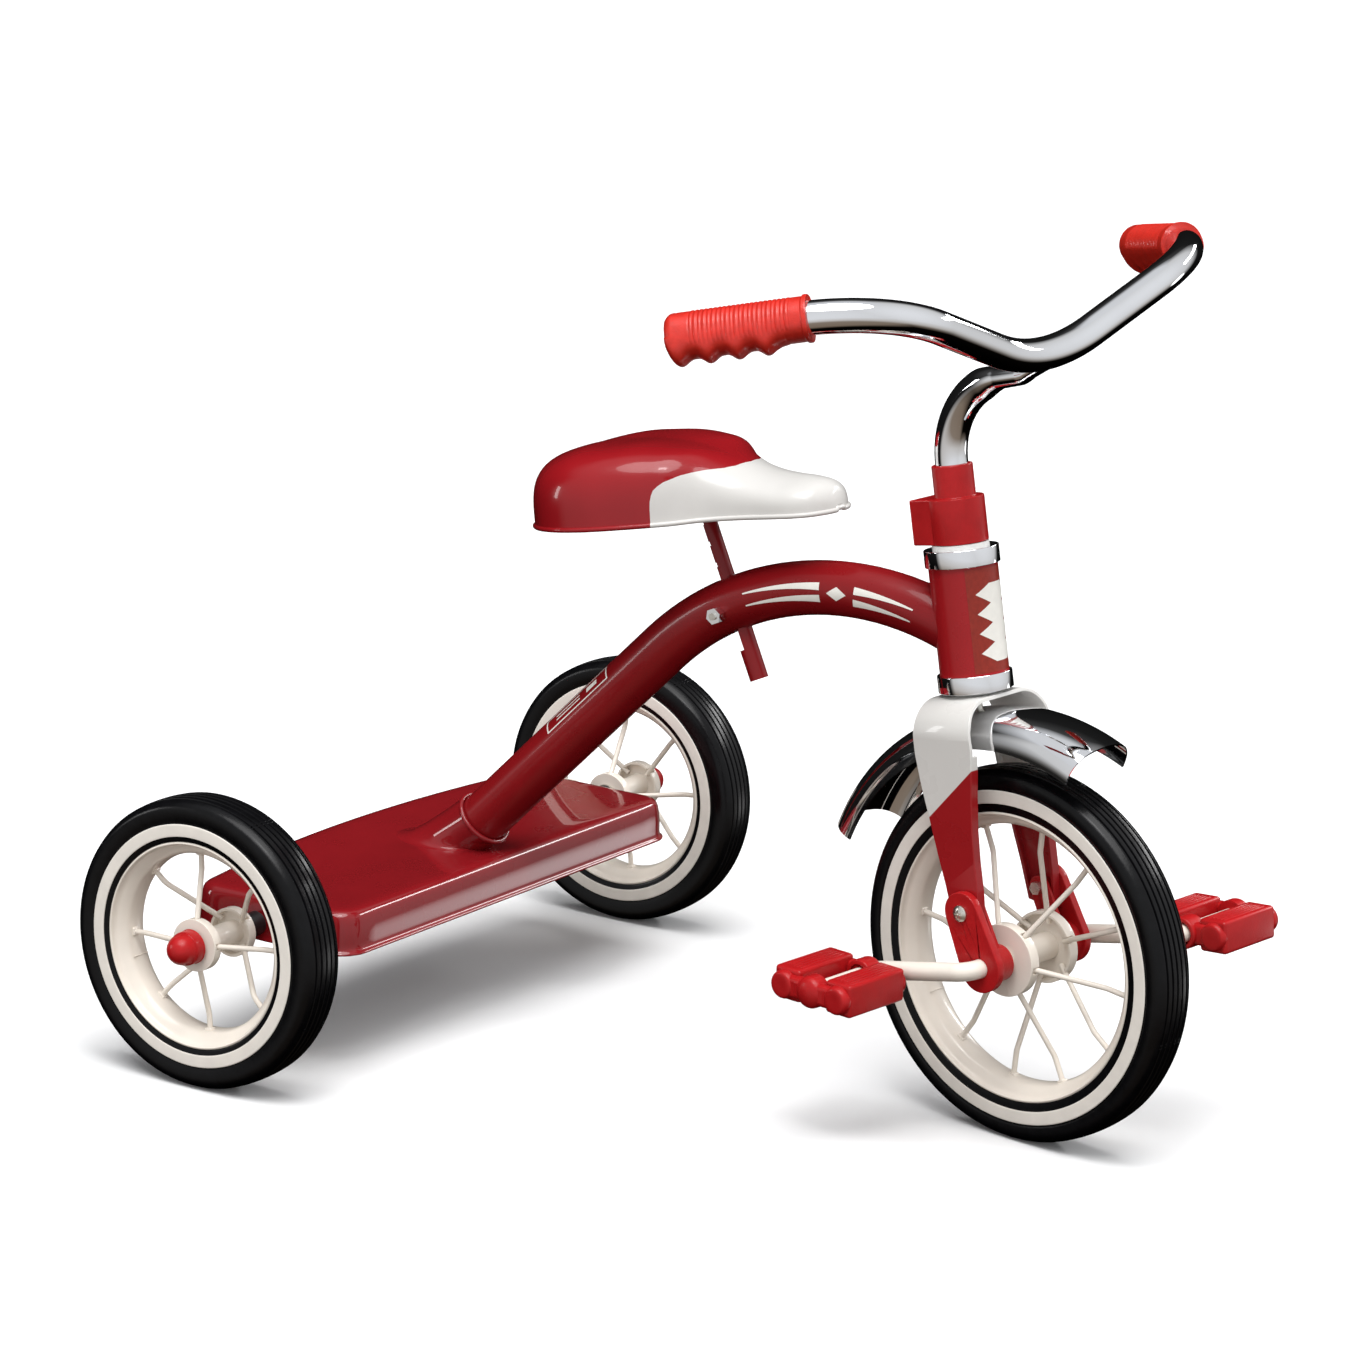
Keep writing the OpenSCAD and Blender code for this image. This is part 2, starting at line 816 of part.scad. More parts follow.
// Front view of the fork: an arch with upright legs, its outer face drawn in by inset
module fork_arch(inset) {
    low = -230;
    translate([-leg_y + inset, low]) square([2 * (leg_y - inset), crown_top - crown_bend - low]);
    translate([-leg_y + crown_bend, low]) square([2 * (leg_y - crown_bend), crown_top - inset - low]);
    for (s = [-1, 1]) translate([s * (leg_y - crown_bend), crown_top - crown_bend])
        circle(r = crown_bend - inset);
}

// Arch band between two insets, extruded across the fork
module fork_band(outer, inner) {
    rotate([90, 0, 90]) linear_extrude(100, center = true) difference() {
        fork_arch(outer);
        fork_arch(inner);
    }
}

module fork_slab(inset) {
    rotate([90, 0, 0]) linear_extrude(200, center = true) fork_side(inset);
}

module fork() {
    color(red_paint) steered() difference() {
        union() {
            intersection() {
                fork_band(0, fork_sheet);
                fork_slab(0);
            }
            intersection() {
                fork_band(0, channel_depth);
                fork_slab(0);
                translate([-60, -60, -240]) cube([120, 120, 155]);
                difference() {
                    translate([-60, -60, -240]) cube([120, 120, 240]);
                    fork_slab(2.2);
                }
            }
        }
        cylinder(h = 300, d = 6.4, center = true);
        translate([bracket_screw[0], 0, bracket_screw[1]]) rotate([90, 0, 0])
            cylinder(h = 200, d = 5.6, center = true);
    }
}

module steerer_tube() {
    top = 82;
    color(zinc) steered() difference() {
        translate([0, 0, crown_top]) cylinder(h = top - crown_top, d = steerer_d);
        translate([0, 0, crown_top + 3]) cylinder(h = top - crown_top, d = steerer_id);
        cylinder(h = 200, d = 6.4, center = true);
        translate([-20, 0, collar_screw_z]) rotate([0, 90, 0]) cylinder(h = 20, d = 5.4);
    }
}

fender_r = 166;
fender_half = 30;
fender_t = 1.2;
function fender_skin(t) = [
    [fender_r - t, 0], [fender_r - 0.6 - t, 9], [fender_r - 2.4 - t, 17],
    [fender_r - 6 - t * 0.8, 23.5 - t * 0.4], [fender_r - 11 - t * 0.3, 28 - t * 0.9],
    [fender_r - 15, fender_half - t], [fender_r - 19, fender_half - t]
];

module fender() {
    from = 58.5;
    to = 147;
    out = fender_skin(0);
    in = fender_skin(fender_t);
    n = len(out);
    color(chrome) difference() {
        front_axle() rotate([0, 0, from]) rotate_extrude(angle = to - from) polygon(concat(
            [for (k = [n - 1 : -1 : 1]) [out[k][0], -out[k][1]]],
            out,
            [for (k = [n - 1 : -1 : 0]) in[k]],
            [for (k = [1 : n - 1]) [in[k][0], -in[k][1]]]
        ));
        steered() cylinder(h = 300, d = 6.4, center = true);
    }
}

fender_bolt_low = -64;
module fender_bolt() {
    color(zinc) steered() {
        translate([0, 0, fender_bolt_low]) cylinder(h = 24, d = 6);
        translate([0, 0, fender_bolt_low - 2.5]) cylinder(h = 2.5, d = 12);
    }
}

module fender_nut() {
    color(zinc) steered() translate([0, 0, crown_top + 3.02]) difference() {
        hex(10, 5);
        translate([0, 0, -1]) cylinder(h = 8, d = 6.02);
    }
}

// Moulded bearing bracket on the outside of a fork tip
module bearing_bracket() {
    tip = [bracket_screw[0] - wheel_dx, bracket_screw[1] - wheel_dz];
    color(red_plastic) difference() {
        union() {
            translate([0, 0, leg_y + 0.02]) link([0, 0, 16.5], [tip[0], tip[1], 14], 6);
            translate([0, 0, front_hub_half + 1.2]) cylinder(h = leg_y - front_hub_half, d = 25);
            translate([tip[0], tip[1], leg_y - channel_depth - 3.2]) cylinder(h = 7.6, r = 6.4);
            translate([0, 0, leg_y - channel_depth - 3.2]) link([0, 0, 9], [tip[0], tip[1], 8], 3);
        }
        cylinder(h = 100, d = crank_d + 2 * fit);
        translate([tip[0], tip[1], 0]) cylinder(h = 100, d = 5.6);
    }
}

module bearing_bracket_right() {
    front_axle() bearing_bracket();
}

module bearing_bracket_left() {
    front_axle() mirror([0, 0, 1]) bearing_bracket();
}

// Pan-head screw through each fork tip
module bracket_screws() {
    color(zinc) steered() for (s = [-1, 1])
        translate([bracket_screw[0], 0, bracket_screw[1]]) rotate([90 * s, 0, 0]) difference() {
            union() {
                translate([0, 0, 27.5]) cylinder(h = 20.6, d = 5);
                translate([0, 0, 48.04]) cylinder(h = 1.5, d = 11);
                intersection() {
                    translate([0, 0, 43.04]) sphere(r = 8.5);
                    translate([0, 0, 49.5]) cylinder(h = 4, d = 11);
                }
            }
            for (t = [0, 90]) rotate([0, 0, t]) translate([-3, -0.6, 49.8]) cube([6, 1.2, 4]);
        }
}

module bracket_nuts() {
    color(zinc) steered() for (s = [-1, 1])
        translate([bracket_screw[0], 0, bracket_screw[1]]) rotate([90 * s, 0, 0])
            translate([0, 0, leg_y - channel_depth - 7.3]) difference() {
                hex(8, 4);
                translate([0, 0, -1]) cylinder(h = 6, d = 5.02);
            }
}

// ---------------------------------------------------------------------------------------------
// Handlebar

collar_low = cup_end + upper_flange + joint_gap;
collar_block = 81;
collar_top = 102.5;
collar_screw_z = 65;
module stem_collar() {
    color(red_plastic) steered() difference() {
        union() {
            translate([0, 0, collar_low]) cylinder(h = collar_block - collar_low, r = 19);
            translate([-26, -17, collar_low]) cube([26, 34, collar_block - collar_low]);
            cylinder(h = collar_top, d = 27.4);
        }
        cylinder(h = 82.1, d = steerer_d + 0.04);
        cylinder(h = 200, d = handlebar_d + 0.2);
        translate([0, 0, -1]) cylinder(h = collar_low + 1, d = 80);
        translate([-40, 0, collar_screw_z]) rotate([0, 90, 0]) cylinder(h = 30, d = 5.4);
        translate([-40, 0, collar_screw_z]) rotate([0, 90, 0]) cylinder(h = 13, d = 11);
        translate([-22, -4.55, collar_low - 1]) cube([4.1, 9.1, 20.1]);
    }
}

module collar_screw() {
    color(zinc) steered() translate([-27, 0, collar_screw_z]) rotate([0, 90, 0]) difference() {
        union() {
            cylinder(h = 15.8, d = 5);
            translate([0, 0, -3]) cylinder(h = 3, d = 9);
        }
        translate([0, 0, -4]) cylinder(h = 3, d = 4, $fn = 6);
    }
}

module collar_nut() {
    color(zinc) steered() translate([-21.95, -4.5, collar_screw_z - 4.5]) difference() {
        cube([4, 9, 9]);
        translate([-1, 4.5, 4.5]) rotate([0, 90, 0]) cylinder(h = 6, d = 5.02);
    }
}

function flip_y(p) = [p[0], -p[1], p[2]];
bar_end = bar_corner + grip_dir * (grip_start + grip_len - 8);

module bar_path(d) {
    bent_bar(
        [flip_y(bar_end), flip_y(bar_corner), bar_low, bar_corner, bar_end],
        [bar_corner_bend, bar_low_bend, bar_corner_bend], d
    );
}

module handlebar() {
    color(chrome) steered_from_rear() difference() {
        bar_path(handlebar_d);
        bar_path(handlebar_d - 3);
    }
}

module stem_path(d) {
    axis = [-sin(head_lean), 0, cos(head_lean)];
    bent_bar([stem_corner - axis * 142, stem_corner, stem_tip], [stem_bend], d);
}

// Stem welded to the underside of the bar
module handlebar_stem() {
    color(chrome) steered_from_rear() difference() {
        stem_path(handlebar_d);
        stem_path(handlebar_d - 3);
        bar_path(handlebar_d + 0.02);
    }
}

// Ribbed grip with a flange, a closed end and four finger rests, z along it and x up
module grip_body() {
    body_r = 14;
    keel = 8;
    keel_turn = -30;
    finger_r = 9;
    finger_pitch = 18;
    difference() {
        union() {
            cylinder(h = grip_len - 5, r = body_r);
            translate([0, 0, grip_len - 6]) cylinder(h = 6, r1 = body_r, r2 = body_r - 3);
            cylinder(h = 4, r = body_r + 1.2);
            rotate([0, 0, keel_turn]) translate([-body_r - keel, -8, 12])
                cube([body_r + keel, 16, grip_len - 14]);
        }
        translate([0, 0, -1]) cylinder(h = grip_len - 6, d = handlebar_d + 0.1);
        // relief where the mouth runs on to the bend of the bar
        translate([0, 0, -1]) cylinder(h = 11, d = handlebar_d + 1.3);
        rotate([0, 0, keel_turn]) for (k = [0 : 3])
            translate([-body_r - keel - 3, 0, 15 + k * finger_pitch]) rotate([90, 0, 0])
                cylinder(h = 40, r = finger_r, center = true);
        for (k = [0 : 11]) translate([body_r - 0.8, -6, 10 + k * 5]) cube([2, 12, 2]);
    }
}

// Grip on the left side; the right one is its mirror image
module grip_place() {
    z = unit(grip_dir);
    up = unit([0, 0, 1] - z * z[2]);
    translate(bar_corner + z * grip_start) rotate(basis(up, cross(z, up), z)) children();
}

module grip_right() {
    color(red_plastic) steered_from_rear() mirror([0, 1, 0]) grip_place() grip_body();
}

module grip_left() {
    color(red_plastic) steered_from_rear() grip_place() grip_body();
}

// ---------------------------------------------------------------------------------------------
// Seat

// Point of a pan section: station s, angle t from -90 to 90, drawn in by inset
function seat_point(s, t, inset) =
    let (
        w = max(s[1] - inset, 1),
        side = sin(t),
        rise = pow(max(cos(t), 0), 0.55),
        crown = s[3] + (s[2] - s[3]) * pow(abs(side), 1.5) / 0.6,
        flare = abs(t) > 89 && inset == 0 ? 1.5 : 0
    )
    [s[0] - (s[0] > 0 ? inset : -inset), (w + flare) * side, max(crown - inset, 0.5) * rise];

// Solid pan between its upper skin and a level base at height low
module seat_skin(inset, low) {
    across = 14;
    rows = len(seat_stations);
    cols = across + 1;
    n = rows * cols;
    top = [for (s = seat_stations) for (k = [0 : across]) seat_point(s, -90 + 180 * k / across, inset)];
    base = [for (p = top) [p[0], p[1], low]];
    function tris(a, b, c, d) = [[a, b, c], [a, c, d]];
    skins = [for (i = [0 : rows - 2]) for (k = [0 : across - 1])
        let (a = i * cols + k, b = a + 1, c = b + cols, d = a + cols)
        each concat(tris(a, b, c, d), tris(n + d, n + c, n + b, n + a))];
    back = [for (k = [0 : across - 1]) each tris(k + 1, k, n + k, n + k + 1)];
    front = [for (k = [0 : across - 1])
        let (a = (rows - 1) * cols + k)
        each tris(a, a + 1, n + a + 1, n + a)];
    sides = [for (i = [0 : rows - 2])
        let (a = i * cols, b = a + cols, c = a + across, d = b + across)
        each concat(tris(a, b, n + b, n + a), tris(d, c, n + c, n + d))];
    polyhedron(points = concat(top, base), faces = concat(skins, back, front, sides));
}

module seat_place() {
    seat_frame() from_rear() translate([seat_x, 0, seat_z]) rotate([0, -seat_tilt, 0]) children();
}

module seat_shell() {
    color(red_paint) seat_place() difference() {
        seat_skin(0, -1);
        seat_skin(seat_sheet, -3);
    }
}

bracket_up = 42;
module seat_studs_at() {
    for (y = [-11, 11]) seat_place() translate([-16, y, 0]) children();
}

// Bracket bolted up inside the pan, with a socket for the post
module seat_bracket() {
    color(zinc) difference() {
        union() {
            seat_place() translate([-35, -18, bracket_up - 2.5]) cube([70, 36, 2.5]);
            seat_frame() post_frame() translate([0, 0, post_top - 14])
                cylinder(h = 22, d = seat_post_d + 5);
        }
        seat_frame() post_frame() cylinder(h = post_top + 0.1, d = seat_post_d + 0.04);
        seat_place() translate([-60, -60, bracket_up]) cube([120, 120, 30]);
        seat_studs_at() cylinder(h = 60, d = 6.4);
    }
}

// Studs welded under the pan, with the nuts that hold the bracket
module seat_studs() {
    color(zinc) seat_studs_at() {
        translate([0, 0, bracket_up - 9]) cylinder(h = 16.7, d = 6);
        translate([0, 0, bracket_up - 7.5]) hex(10, 5);
    }
}

// Post with a notched flat at its back, along which the clamp bolt passes
module seat_post() {
    flat = 0.1;
    notch_pitch = 15;
    slot_low = -32;
    color(red_paint) seat_frame() post_frame() difference() {
        translate([0, 0, post_bottom]) cylinder(h = post_top - post_bottom, d = seat_post_d);
        translate([-20, -10, slot_low]) cube([20 - flat, 20, post_top - 16 - slot_low]);
        for (k = [0 : 5]) translate([-flat - eps, -10, slot_low + 14 + k * notch_pitch])
            cube([0.8, 20, 3]);
    }
}

clamp_head = main_tube_d / 2 + 0.1;
module seat_clamp_bolt() {
    color(zinc) clamp_axis() {
        translate([0, 0, -clamp_head]) cylinder(h = 2 * clamp_head + 8, d = clamp_bolt_d);
        translate([0, 0, -clamp_head - 4]) hex(10, 4);
    }
}

module seat_clamp_nut() {
    color(zinc) clamp_axis() translate([0, 0, clamp_head]) difference() {
        hex(10, 6.5);
        translate([0, 0, -1]) cylinder(h = 8, d = clamp_bolt_d + 0.02);
    }
}

frame_tube();
head_tube();
rear_deck();
axle_bracket_right();
axle_bracket_left();
rear_axle();
axle_spacer_right();
axle_spacer_left();
rear_washers();
hub_cap_right();
hub_cap_left();
upper_cup();
lower_cup();
upper_bushing();
lower_bushing();
seat_clamp_bolt();
seat_clamp_nut();
seat_shell();
seat_bracket();
seat_studs();
seat_post();
steerer_tube();
fork();
fender();
fender_bolt();
fender_nut();
bearing_bracket_right();
bearing_bracket_left();
bracket_screws();
bracket_nuts();
stem_collar();
collar_screw();
collar_nut();
handlebar_stem();
handlebar();
grip_right();
grip_left();
front_tyre();
front_rim();
front_spokes();
front_hub();
front_flange_right();
front_flange_left();
crank();
pedal_right();
pedal_left();
pedal_cap_right();
pedal_cap_left();
rear_tyre_right();
rear_rim_right();
rear_spokes_right();
rear_hub_right();
rear_bushings_right();
rear_tyre_left();
rear_rim_left();
rear_spokes_left();
rear_hub_left();
rear_bushings_left();
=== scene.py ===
import math

import bmesh
import bpy
from mathutils import Matrix, Vector


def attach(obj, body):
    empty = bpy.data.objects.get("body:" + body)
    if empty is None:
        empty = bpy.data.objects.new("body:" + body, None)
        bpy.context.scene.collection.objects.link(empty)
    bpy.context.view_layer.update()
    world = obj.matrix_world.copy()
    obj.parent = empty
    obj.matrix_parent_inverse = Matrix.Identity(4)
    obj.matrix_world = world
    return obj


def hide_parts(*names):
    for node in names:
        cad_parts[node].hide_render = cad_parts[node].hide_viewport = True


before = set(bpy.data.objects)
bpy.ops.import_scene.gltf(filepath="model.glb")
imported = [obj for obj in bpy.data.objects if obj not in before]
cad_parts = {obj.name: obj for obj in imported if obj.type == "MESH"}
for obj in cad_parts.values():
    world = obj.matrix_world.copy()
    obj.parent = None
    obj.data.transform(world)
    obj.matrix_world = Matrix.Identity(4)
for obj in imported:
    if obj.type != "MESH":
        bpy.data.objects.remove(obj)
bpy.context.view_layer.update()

# ------------------------------------------------------------------ placing, in millimetres
# REAR_X is the rear axle in the frame. Every other place is measured from the rear axle.
REAR_X, TRACK, WHEELBASE = -258.76, 512.0, 488.0
REAR_Z, FRONT_Z = 100.4, 126.98
# middle of the head tube, its lean in degrees, and the steering angle at rest
HEAD_X, HEAD_Z, LEAN, STEER = 430.0, 345.0, 10.2, -10.5


def T(x, y, z):
    return Matrix.Translation((x, y, z))


def R(axis, deg):
    return Matrix.Rotation(math.radians(deg), 4, axis)


LEAN_C, LEAN_S = math.cos(math.radians(LEAN)), math.sin(math.radians(LEAN))
WHEEL_DX = (WHEELBASE - HEAD_X) * LEAN_C + (FRONT_Z - HEAD_Z) * LEAN_S
WHEEL_DZ = -(WHEELBASE - HEAD_X) * LEAN_S + (FRONT_Z - HEAD_Z) * LEAN_C
REAR = T(REAR_X, 0, 0)
HEAD = REAR @ T(HEAD_X, 0, HEAD_Z) @ R("Y", -LEAN)
STEERED = HEAD @ R("Z", STEER)
BARS = STEERED @ R("Y", LEAN) @ T(-HEAD_X, 0, -HEAD_Z)
FRONT = STEERED @ T(WHEEL_DX, 0, WHEEL_DZ) @ R("X", 90)
SEAT = REAR @ T(195, 0, 383) @ R("Y", -8.8)
POST = REAR @ T(247.9, 0, 326.7) @ R("Y", -24.2)


def rear_wheel(side):
    """Places a rear wheel, z outwards: side is 1 on the right and -1 on the left."""
    m = REAR @ T(0, -side * TRACK / 2, REAR_Z) @ R("X", 90)
    return m if side > 0 else m @ Matrix.Diagonal((1, 1, -1, 1))


# ------------------------------------------------------------------ materials
def material(name, colour, rough, metal=0.0, coat=0.0, coat_rough=0.03, mottle=0.05, scale=60.0,
             bump=0.02, bump_scale=250.0, spec=0.5, second=None, mask=None):
    """Principled finish with a fine colour mottle, uneven gloss and a shallow surface bump. A second
    colour is laid where the object-space mask (normal, offset) is positive."""
    m = bpy.data.materials.new(name)
    m.use_nodes = True
    nt = m.node_tree
    n, link = nt.nodes, nt.links.new
    b = n["Principled BSDF"]
    b.inputs["Metallic"].default_value = metal
    b.inputs["Specular IOR Level"].default_value = spec
    b.inputs["Coat Weight"].default_value = coat
    b.inputs["Coat Roughness"].default_value = coat_rough
    tc = n.new("ShaderNodeTexCoord")
    noise = n.new("ShaderNodeTexNoise")
    noise.inputs["Scale"].default_value = scale
    noise.inputs["Detail"].default_value = 5.0
    link(tc.outputs["Object"], noise.inputs["Vector"])
    ramp = n.new("ShaderNodeValToRGB")
    e = ramp.color_ramp.elements
    e[0].position, e[1].position = 0.3, 0.7
    e[0].color = [max(0.0, c * (1 - mottle)) for c in colour] + [1]
    e[1].color = [min(1.0, c * (1 + mottle)) for c in colour] + [1]
    link(noise.outputs["Fac"], ramp.inputs["Fac"])
    out = ramp.outputs["Color"]
    if second:
        mix = n.new("ShaderNodeMix")
        mix.data_type = "RGBA"
        link(out, mix.inputs["A"])
        mix.inputs["B"].default_value = [*second, 1]
        link(mask(n, link, tc), mix.inputs["Factor"])
        out = mix.outputs["Result"]
    link(out, b.inputs["Base Color"])
    rr = n.new("ShaderNodeMapRange")
    rr.inputs["To Min"].default_value = rough * 0.85
    rr.inputs["To Max"].default_value = min(1.0, rough * 1.15)
    link(noise.outputs["Fac"], rr.inputs["Value"])
    link(rr.outputs["Result"], b.inputs["Roughness"])
    fine = n.new("ShaderNodeTexNoise")
    fine.inputs["Scale"].default_value = bump_scale
    fine.inputs["Detail"].default_value = 3.0
    link(tc.outputs["Object"], fine.inputs["Vector"])
    bp = n.new("ShaderNodeBump")
    bp.inputs["Strength"].default_value = bump
    bp.inputs["Distance"].default_value = 0.001
    link(fine.outputs["Fac"], bp.inputs["Height"])
    link(bp.outputs["Normal"], b.inputs["Normal"])
    return m


def plane_mask(normal, offset, sharp=2500.0):
    """Object-space half space with a crisp edge."""
    def build(n, link, tc):
        dot = n.new("ShaderNodeVectorMath")
        dot.operation = "DOT_PRODUCT"
        dot.inputs[1].default_value = normal
        link(tc.outputs["Object"], dot.inputs[0])
        rng = n.new("ShaderNodeMapRange")
        rng.inputs["From Min"].default_value = offset - 0.5 / sharp
        rng.inputs["From Max"].default_value = offset + 0.5 / sharp
        link(dot.outputs["Value"], rng.inputs["Value"])
        return rng.outputs["Result"]
    return build


RED = (0.235, 0.0075, 0.011)
WHITE = (0.70, 0.685, 0.655)
CREAM = (0.86, 0.79, 0.70)
paint = material("red_enamel", (0.235, 0.0065, 0.009), 0.28, coat=0.22, mottle=0.05, scale=40, bump=0.03,
                 bump_scale=180, spec=0.2)
deck_paint = material("deck_enamel", RED, 0.28, coat=0.9, mottle=0.05, scale=30, bump=0.04, bump_scale=22,
                      spec=0.06)
seat_red = material("seat_red", (0.285, 0.0068, 0.0105), 0.24, coat=0.45, mottle=0.04, scale=35, bump=0.02,
                    spec=0.2)
# the head tube has the frame's red enamel, made lighter here: a painted highlight for the light falling on
# the tube
head_red_painted_highlight = material("head_enamel_painted_highlight", (0.36, 0.0085, 0.012), 0.28, coat=0.25, mottle=0.05, scale=40, bump=0.03,
                      spec=0.2)
seat_white = material("seat_white", (0.62, 0.605, 0.58), 0.30, coat=0.25, mottle=0.02, scale=35, bump=0.02,
                      spec=0.3)
cream = material("cream_enamel", CREAM, 0.32, coat=0.4, mottle=0.03, scale=50, bump=0.03, spec=0.3)
chrome = material("chrome_plate", (0.88, 0.89, 0.91), 0.05, metal=1.0, mottle=0.02, scale=25, bump=0.004,
                  bump_scale=90)
zinc = material("zinc_plate", (0.72, 0.70, 0.64), 0.28, metal=1.0, mottle=0.10, scale=300, bump=0.06,
                bump_scale=900)
plastic = material("red_moulding", (0.42, 0.009, 0.011), 0.32, coat=0.12, mottle=0.07, scale=120, bump=0.12,
                   bump_scale=700, spec=0.2)
grip_red = material("red_grip", (0.60, 0.024, 0.014), 0.34, coat=0.25, mottle=0.10, scale=200, bump=0.16,
                    bump_scale=1100, spec=0.35)
white_plastic = material("white_moulding", (0.76, 0.75, 0.72), 0.42, mottle=0.04, scale=120, bump=0.06,
                         bump_scale=600)
black_plastic = material("black_moulding", (0.010, 0.010, 0.011), 0.38, mottle=0.2, scale=200, bump=0.08,
                         bump_scale=700)
rubber = material("tyre_rubber", (0.0028, 0.0028, 0.0034), 0.25, mottle=0.3, scale=160, bump=0.06,
                  bump_scale=500, spec=0.20)
whitewall = material("whitewall", (0.86, 0.81, 0.74), 0.45, mottle=0.04, scale=90, bump=0.05, bump_scale=500,
                     spec=0.3)
decal_white = material("decal_cream", (0.86, 0.84, 0.78), 0.35, mottle=0.03, scale=200, bump=0.03)
badge_red = material("badge_red", (0.27, 0.022, 0.012), 0.38, coat=0.2, mottle=0.12, scale=400, bump=0.10,
                     bump_scale=1500, spec=0.25)
# the two-tone fork: white above a line that falls from its front edge to its rear edge
split_p = STEERED @ Vector((27.7, -42, -91.7))
split_q = STEERED @ Vector((-15.3, -42, -125.2))
split_side = STEERED.to_3x3() @ Vector((0, 1, 0))
split_n = (split_p - split_q).cross(split_side).normalized()
if split_n.z < 0:
    split_n = -split_n
fork_paint = material("fork_enamel", (0.33, 0.008, 0.011), 0.28, coat=0.4, mottle=0.04, scale=40, bump=0.02,
                      spec=0.25, second=WHITE, mask=plane_mask(split_n, split_n.dot(split_p) * 0.001))


# ------------------------------------------------------------------ mesh building
def new_object(name, verts, faces, body, mats, replaces=(), place=Matrix.Identity(4), face_mat=None,
               sharp=40):
    """Makes one piece from points in millimetres, placed by a matrix, and rides it on its body."""
    me = bpy.data.meshes.new(name)
    me.from_pydata([(place @ Vector(v)) * 0.001 for v in verts], [], faces)
    me.validate()
    o = bpy.data.objects.new(name, me)
    bpy.context.scene.collection.objects.link(o)
    for m in mats if isinstance(mats, (list, tuple)) else [mats]:
        me.materials.append(m)
    if face_mat:
        for p, k in zip(me.polygons, face_mat):
            p.material_index = k
    recalc(me)
    me.shade_smooth()
    me.set_sharp_from_angle(angle=math.radians(sharp))
    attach(o, body)
    if replaces:
        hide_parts(*replaces)
    return o


def recalc(me):
    """Turns every face to look outwards."""
    bm = bmesh.new()
    bm.from_mesh(me)
    bmesh.ops.recalc_face_normals(bm, faces=bm.faces)
    bm.to_mesh(me)
    bm.free()


def smooth_line(points, steps=6, closed=False):
    """Catmull-Rom curve through the points, of any dimension."""
    n, out = len(points), []
    for i in range(n if closed else n - 1):
        p = [points[(i + k - 1) % n] if closed else points[min(max(i + k - 1, 0), n - 1)] for k in range(4)]
        for s in range(steps):
            t = s / steps
            out.append(tuple(
                0.5 * (2 * b + (c - a) * t + (2 * a - 5 * b + 4 * c - d) * t * t
                       + (3 * b - a - 3 * c + d) * t ** 3)
                for a, b, c, d in zip(*p)))
    if not closed:
        out.append(tuple(points[-1]))
    return out


def lathe(profile, start=0.0, stop=360.0, segs=160, closed=True):
    """Turns a closed loop of (radius, z) about z. Returns points and faces."""
    full = abs(stop - start) >= 360
    rows = segs if full else segs + 1
    n = len(profile)
    verts = []
    for i in range(rows):
        a = math.radians(start + (stop - start) * i / segs)
        verts += [(r * math.cos(a), r * math.sin(a), z) for r, z in profile]
    faces = []
    for i in range(segs):
        j = (i + 1) % rows
        for k in range(n if closed else n - 1):
            q = (k + 1) % n
            faces.append((i * n + k, j * n + k, j * n + q, i * n + q))
    if not full and closed:
        faces.append(tuple(range(n)))
        faces.append(tuple(range(segs * n, segs * n + n))[::-1])
    return verts, faces


def ring_faces(rows, n):
    """Quads between successive closed rings of n points."""
    return [(i * n + k, i * n + (k + 1) % n, (i + 1) * n + (k + 1) % n, (i + 1) * n + k)
            for i in range(rows - 1) for k in range(n)]


def sweep(path, radius, sides=28, squash=None, caps=True):
    """Round bar along path. squash(t) gives (side scale, height scale) at the fraction t."""
    pts = [Vector(p) for p in path]
    tang = [(pts[min(i + 1, len(pts) - 1)] - pts[max(i - 1, 0)]).normalized() for i in range(len(pts))]
    up = Vector((0, 0, 1))
    side = tang[0].cross(up)
    side = side.normalized() if side.length > 0.1 else Vector((0, 1, 0))
    verts, n = [], sides
    for i, (p, t) in enumerate(zip(pts, tang)):
        side = (side - t * side.dot(t)).normalized()
        u = side.cross(t)
        a, b = squash(i / (len(pts) - 1)) if squash else (1, 1)
        verts += [tuple(p + side * (radius * a * math.cos(2 * math.pi * k / n)) +
                        u * (radius * b * math.sin(2 * math.pi * k / n))) for k in range(n)]
    faces = ring_faces(len(pts), n)
    if caps:
        faces += [tuple(range(n))[::-1], tuple(range((len(pts) - 1) * n, len(pts) * n))]
    return verts, faces


def filleted(points, radii, step=3.0):
    """Polyline with an arc of the given radius at each inner corner."""
    pts = [Vector(p) for p in points]
    out = [pts[0]]
    for i in range(1, len(pts) - 1):
        u, v = (pts[i] - pts[i - 1]).normalized(), (pts[i + 1] - pts[i]).normalized()
        turn = u.angle(v)
        back = radii[i - 1] * math.tan(turn / 2)
        a = pts[i] - u * back
        toward = (v - u * u.dot(v)).normalized()
        centre = a + toward * radii[i - 1]
        k = max(4, int(radii[i - 1] * turn / step))
        r = radii[i - 1]
        out += [centre - toward * (r * math.cos(turn * j / k)) + u * (r * math.sin(turn * j / k))
                for j in range(k + 1)]
    out.append(pts[-1])
    return out


def join(parts):
    """Several (points, faces) as one."""
    verts, faces = [], []
    for v, f in parts:
        base = len(verts)
        verts += [tuple(p) for p in v]
        faces += [tuple(i + base for i in face) for face in f]
    return verts, faces


def moved(part, m):
    """The part carried by a matrix."""
    return [tuple(m @ Vector(p)) for p in part[0]], part[1]


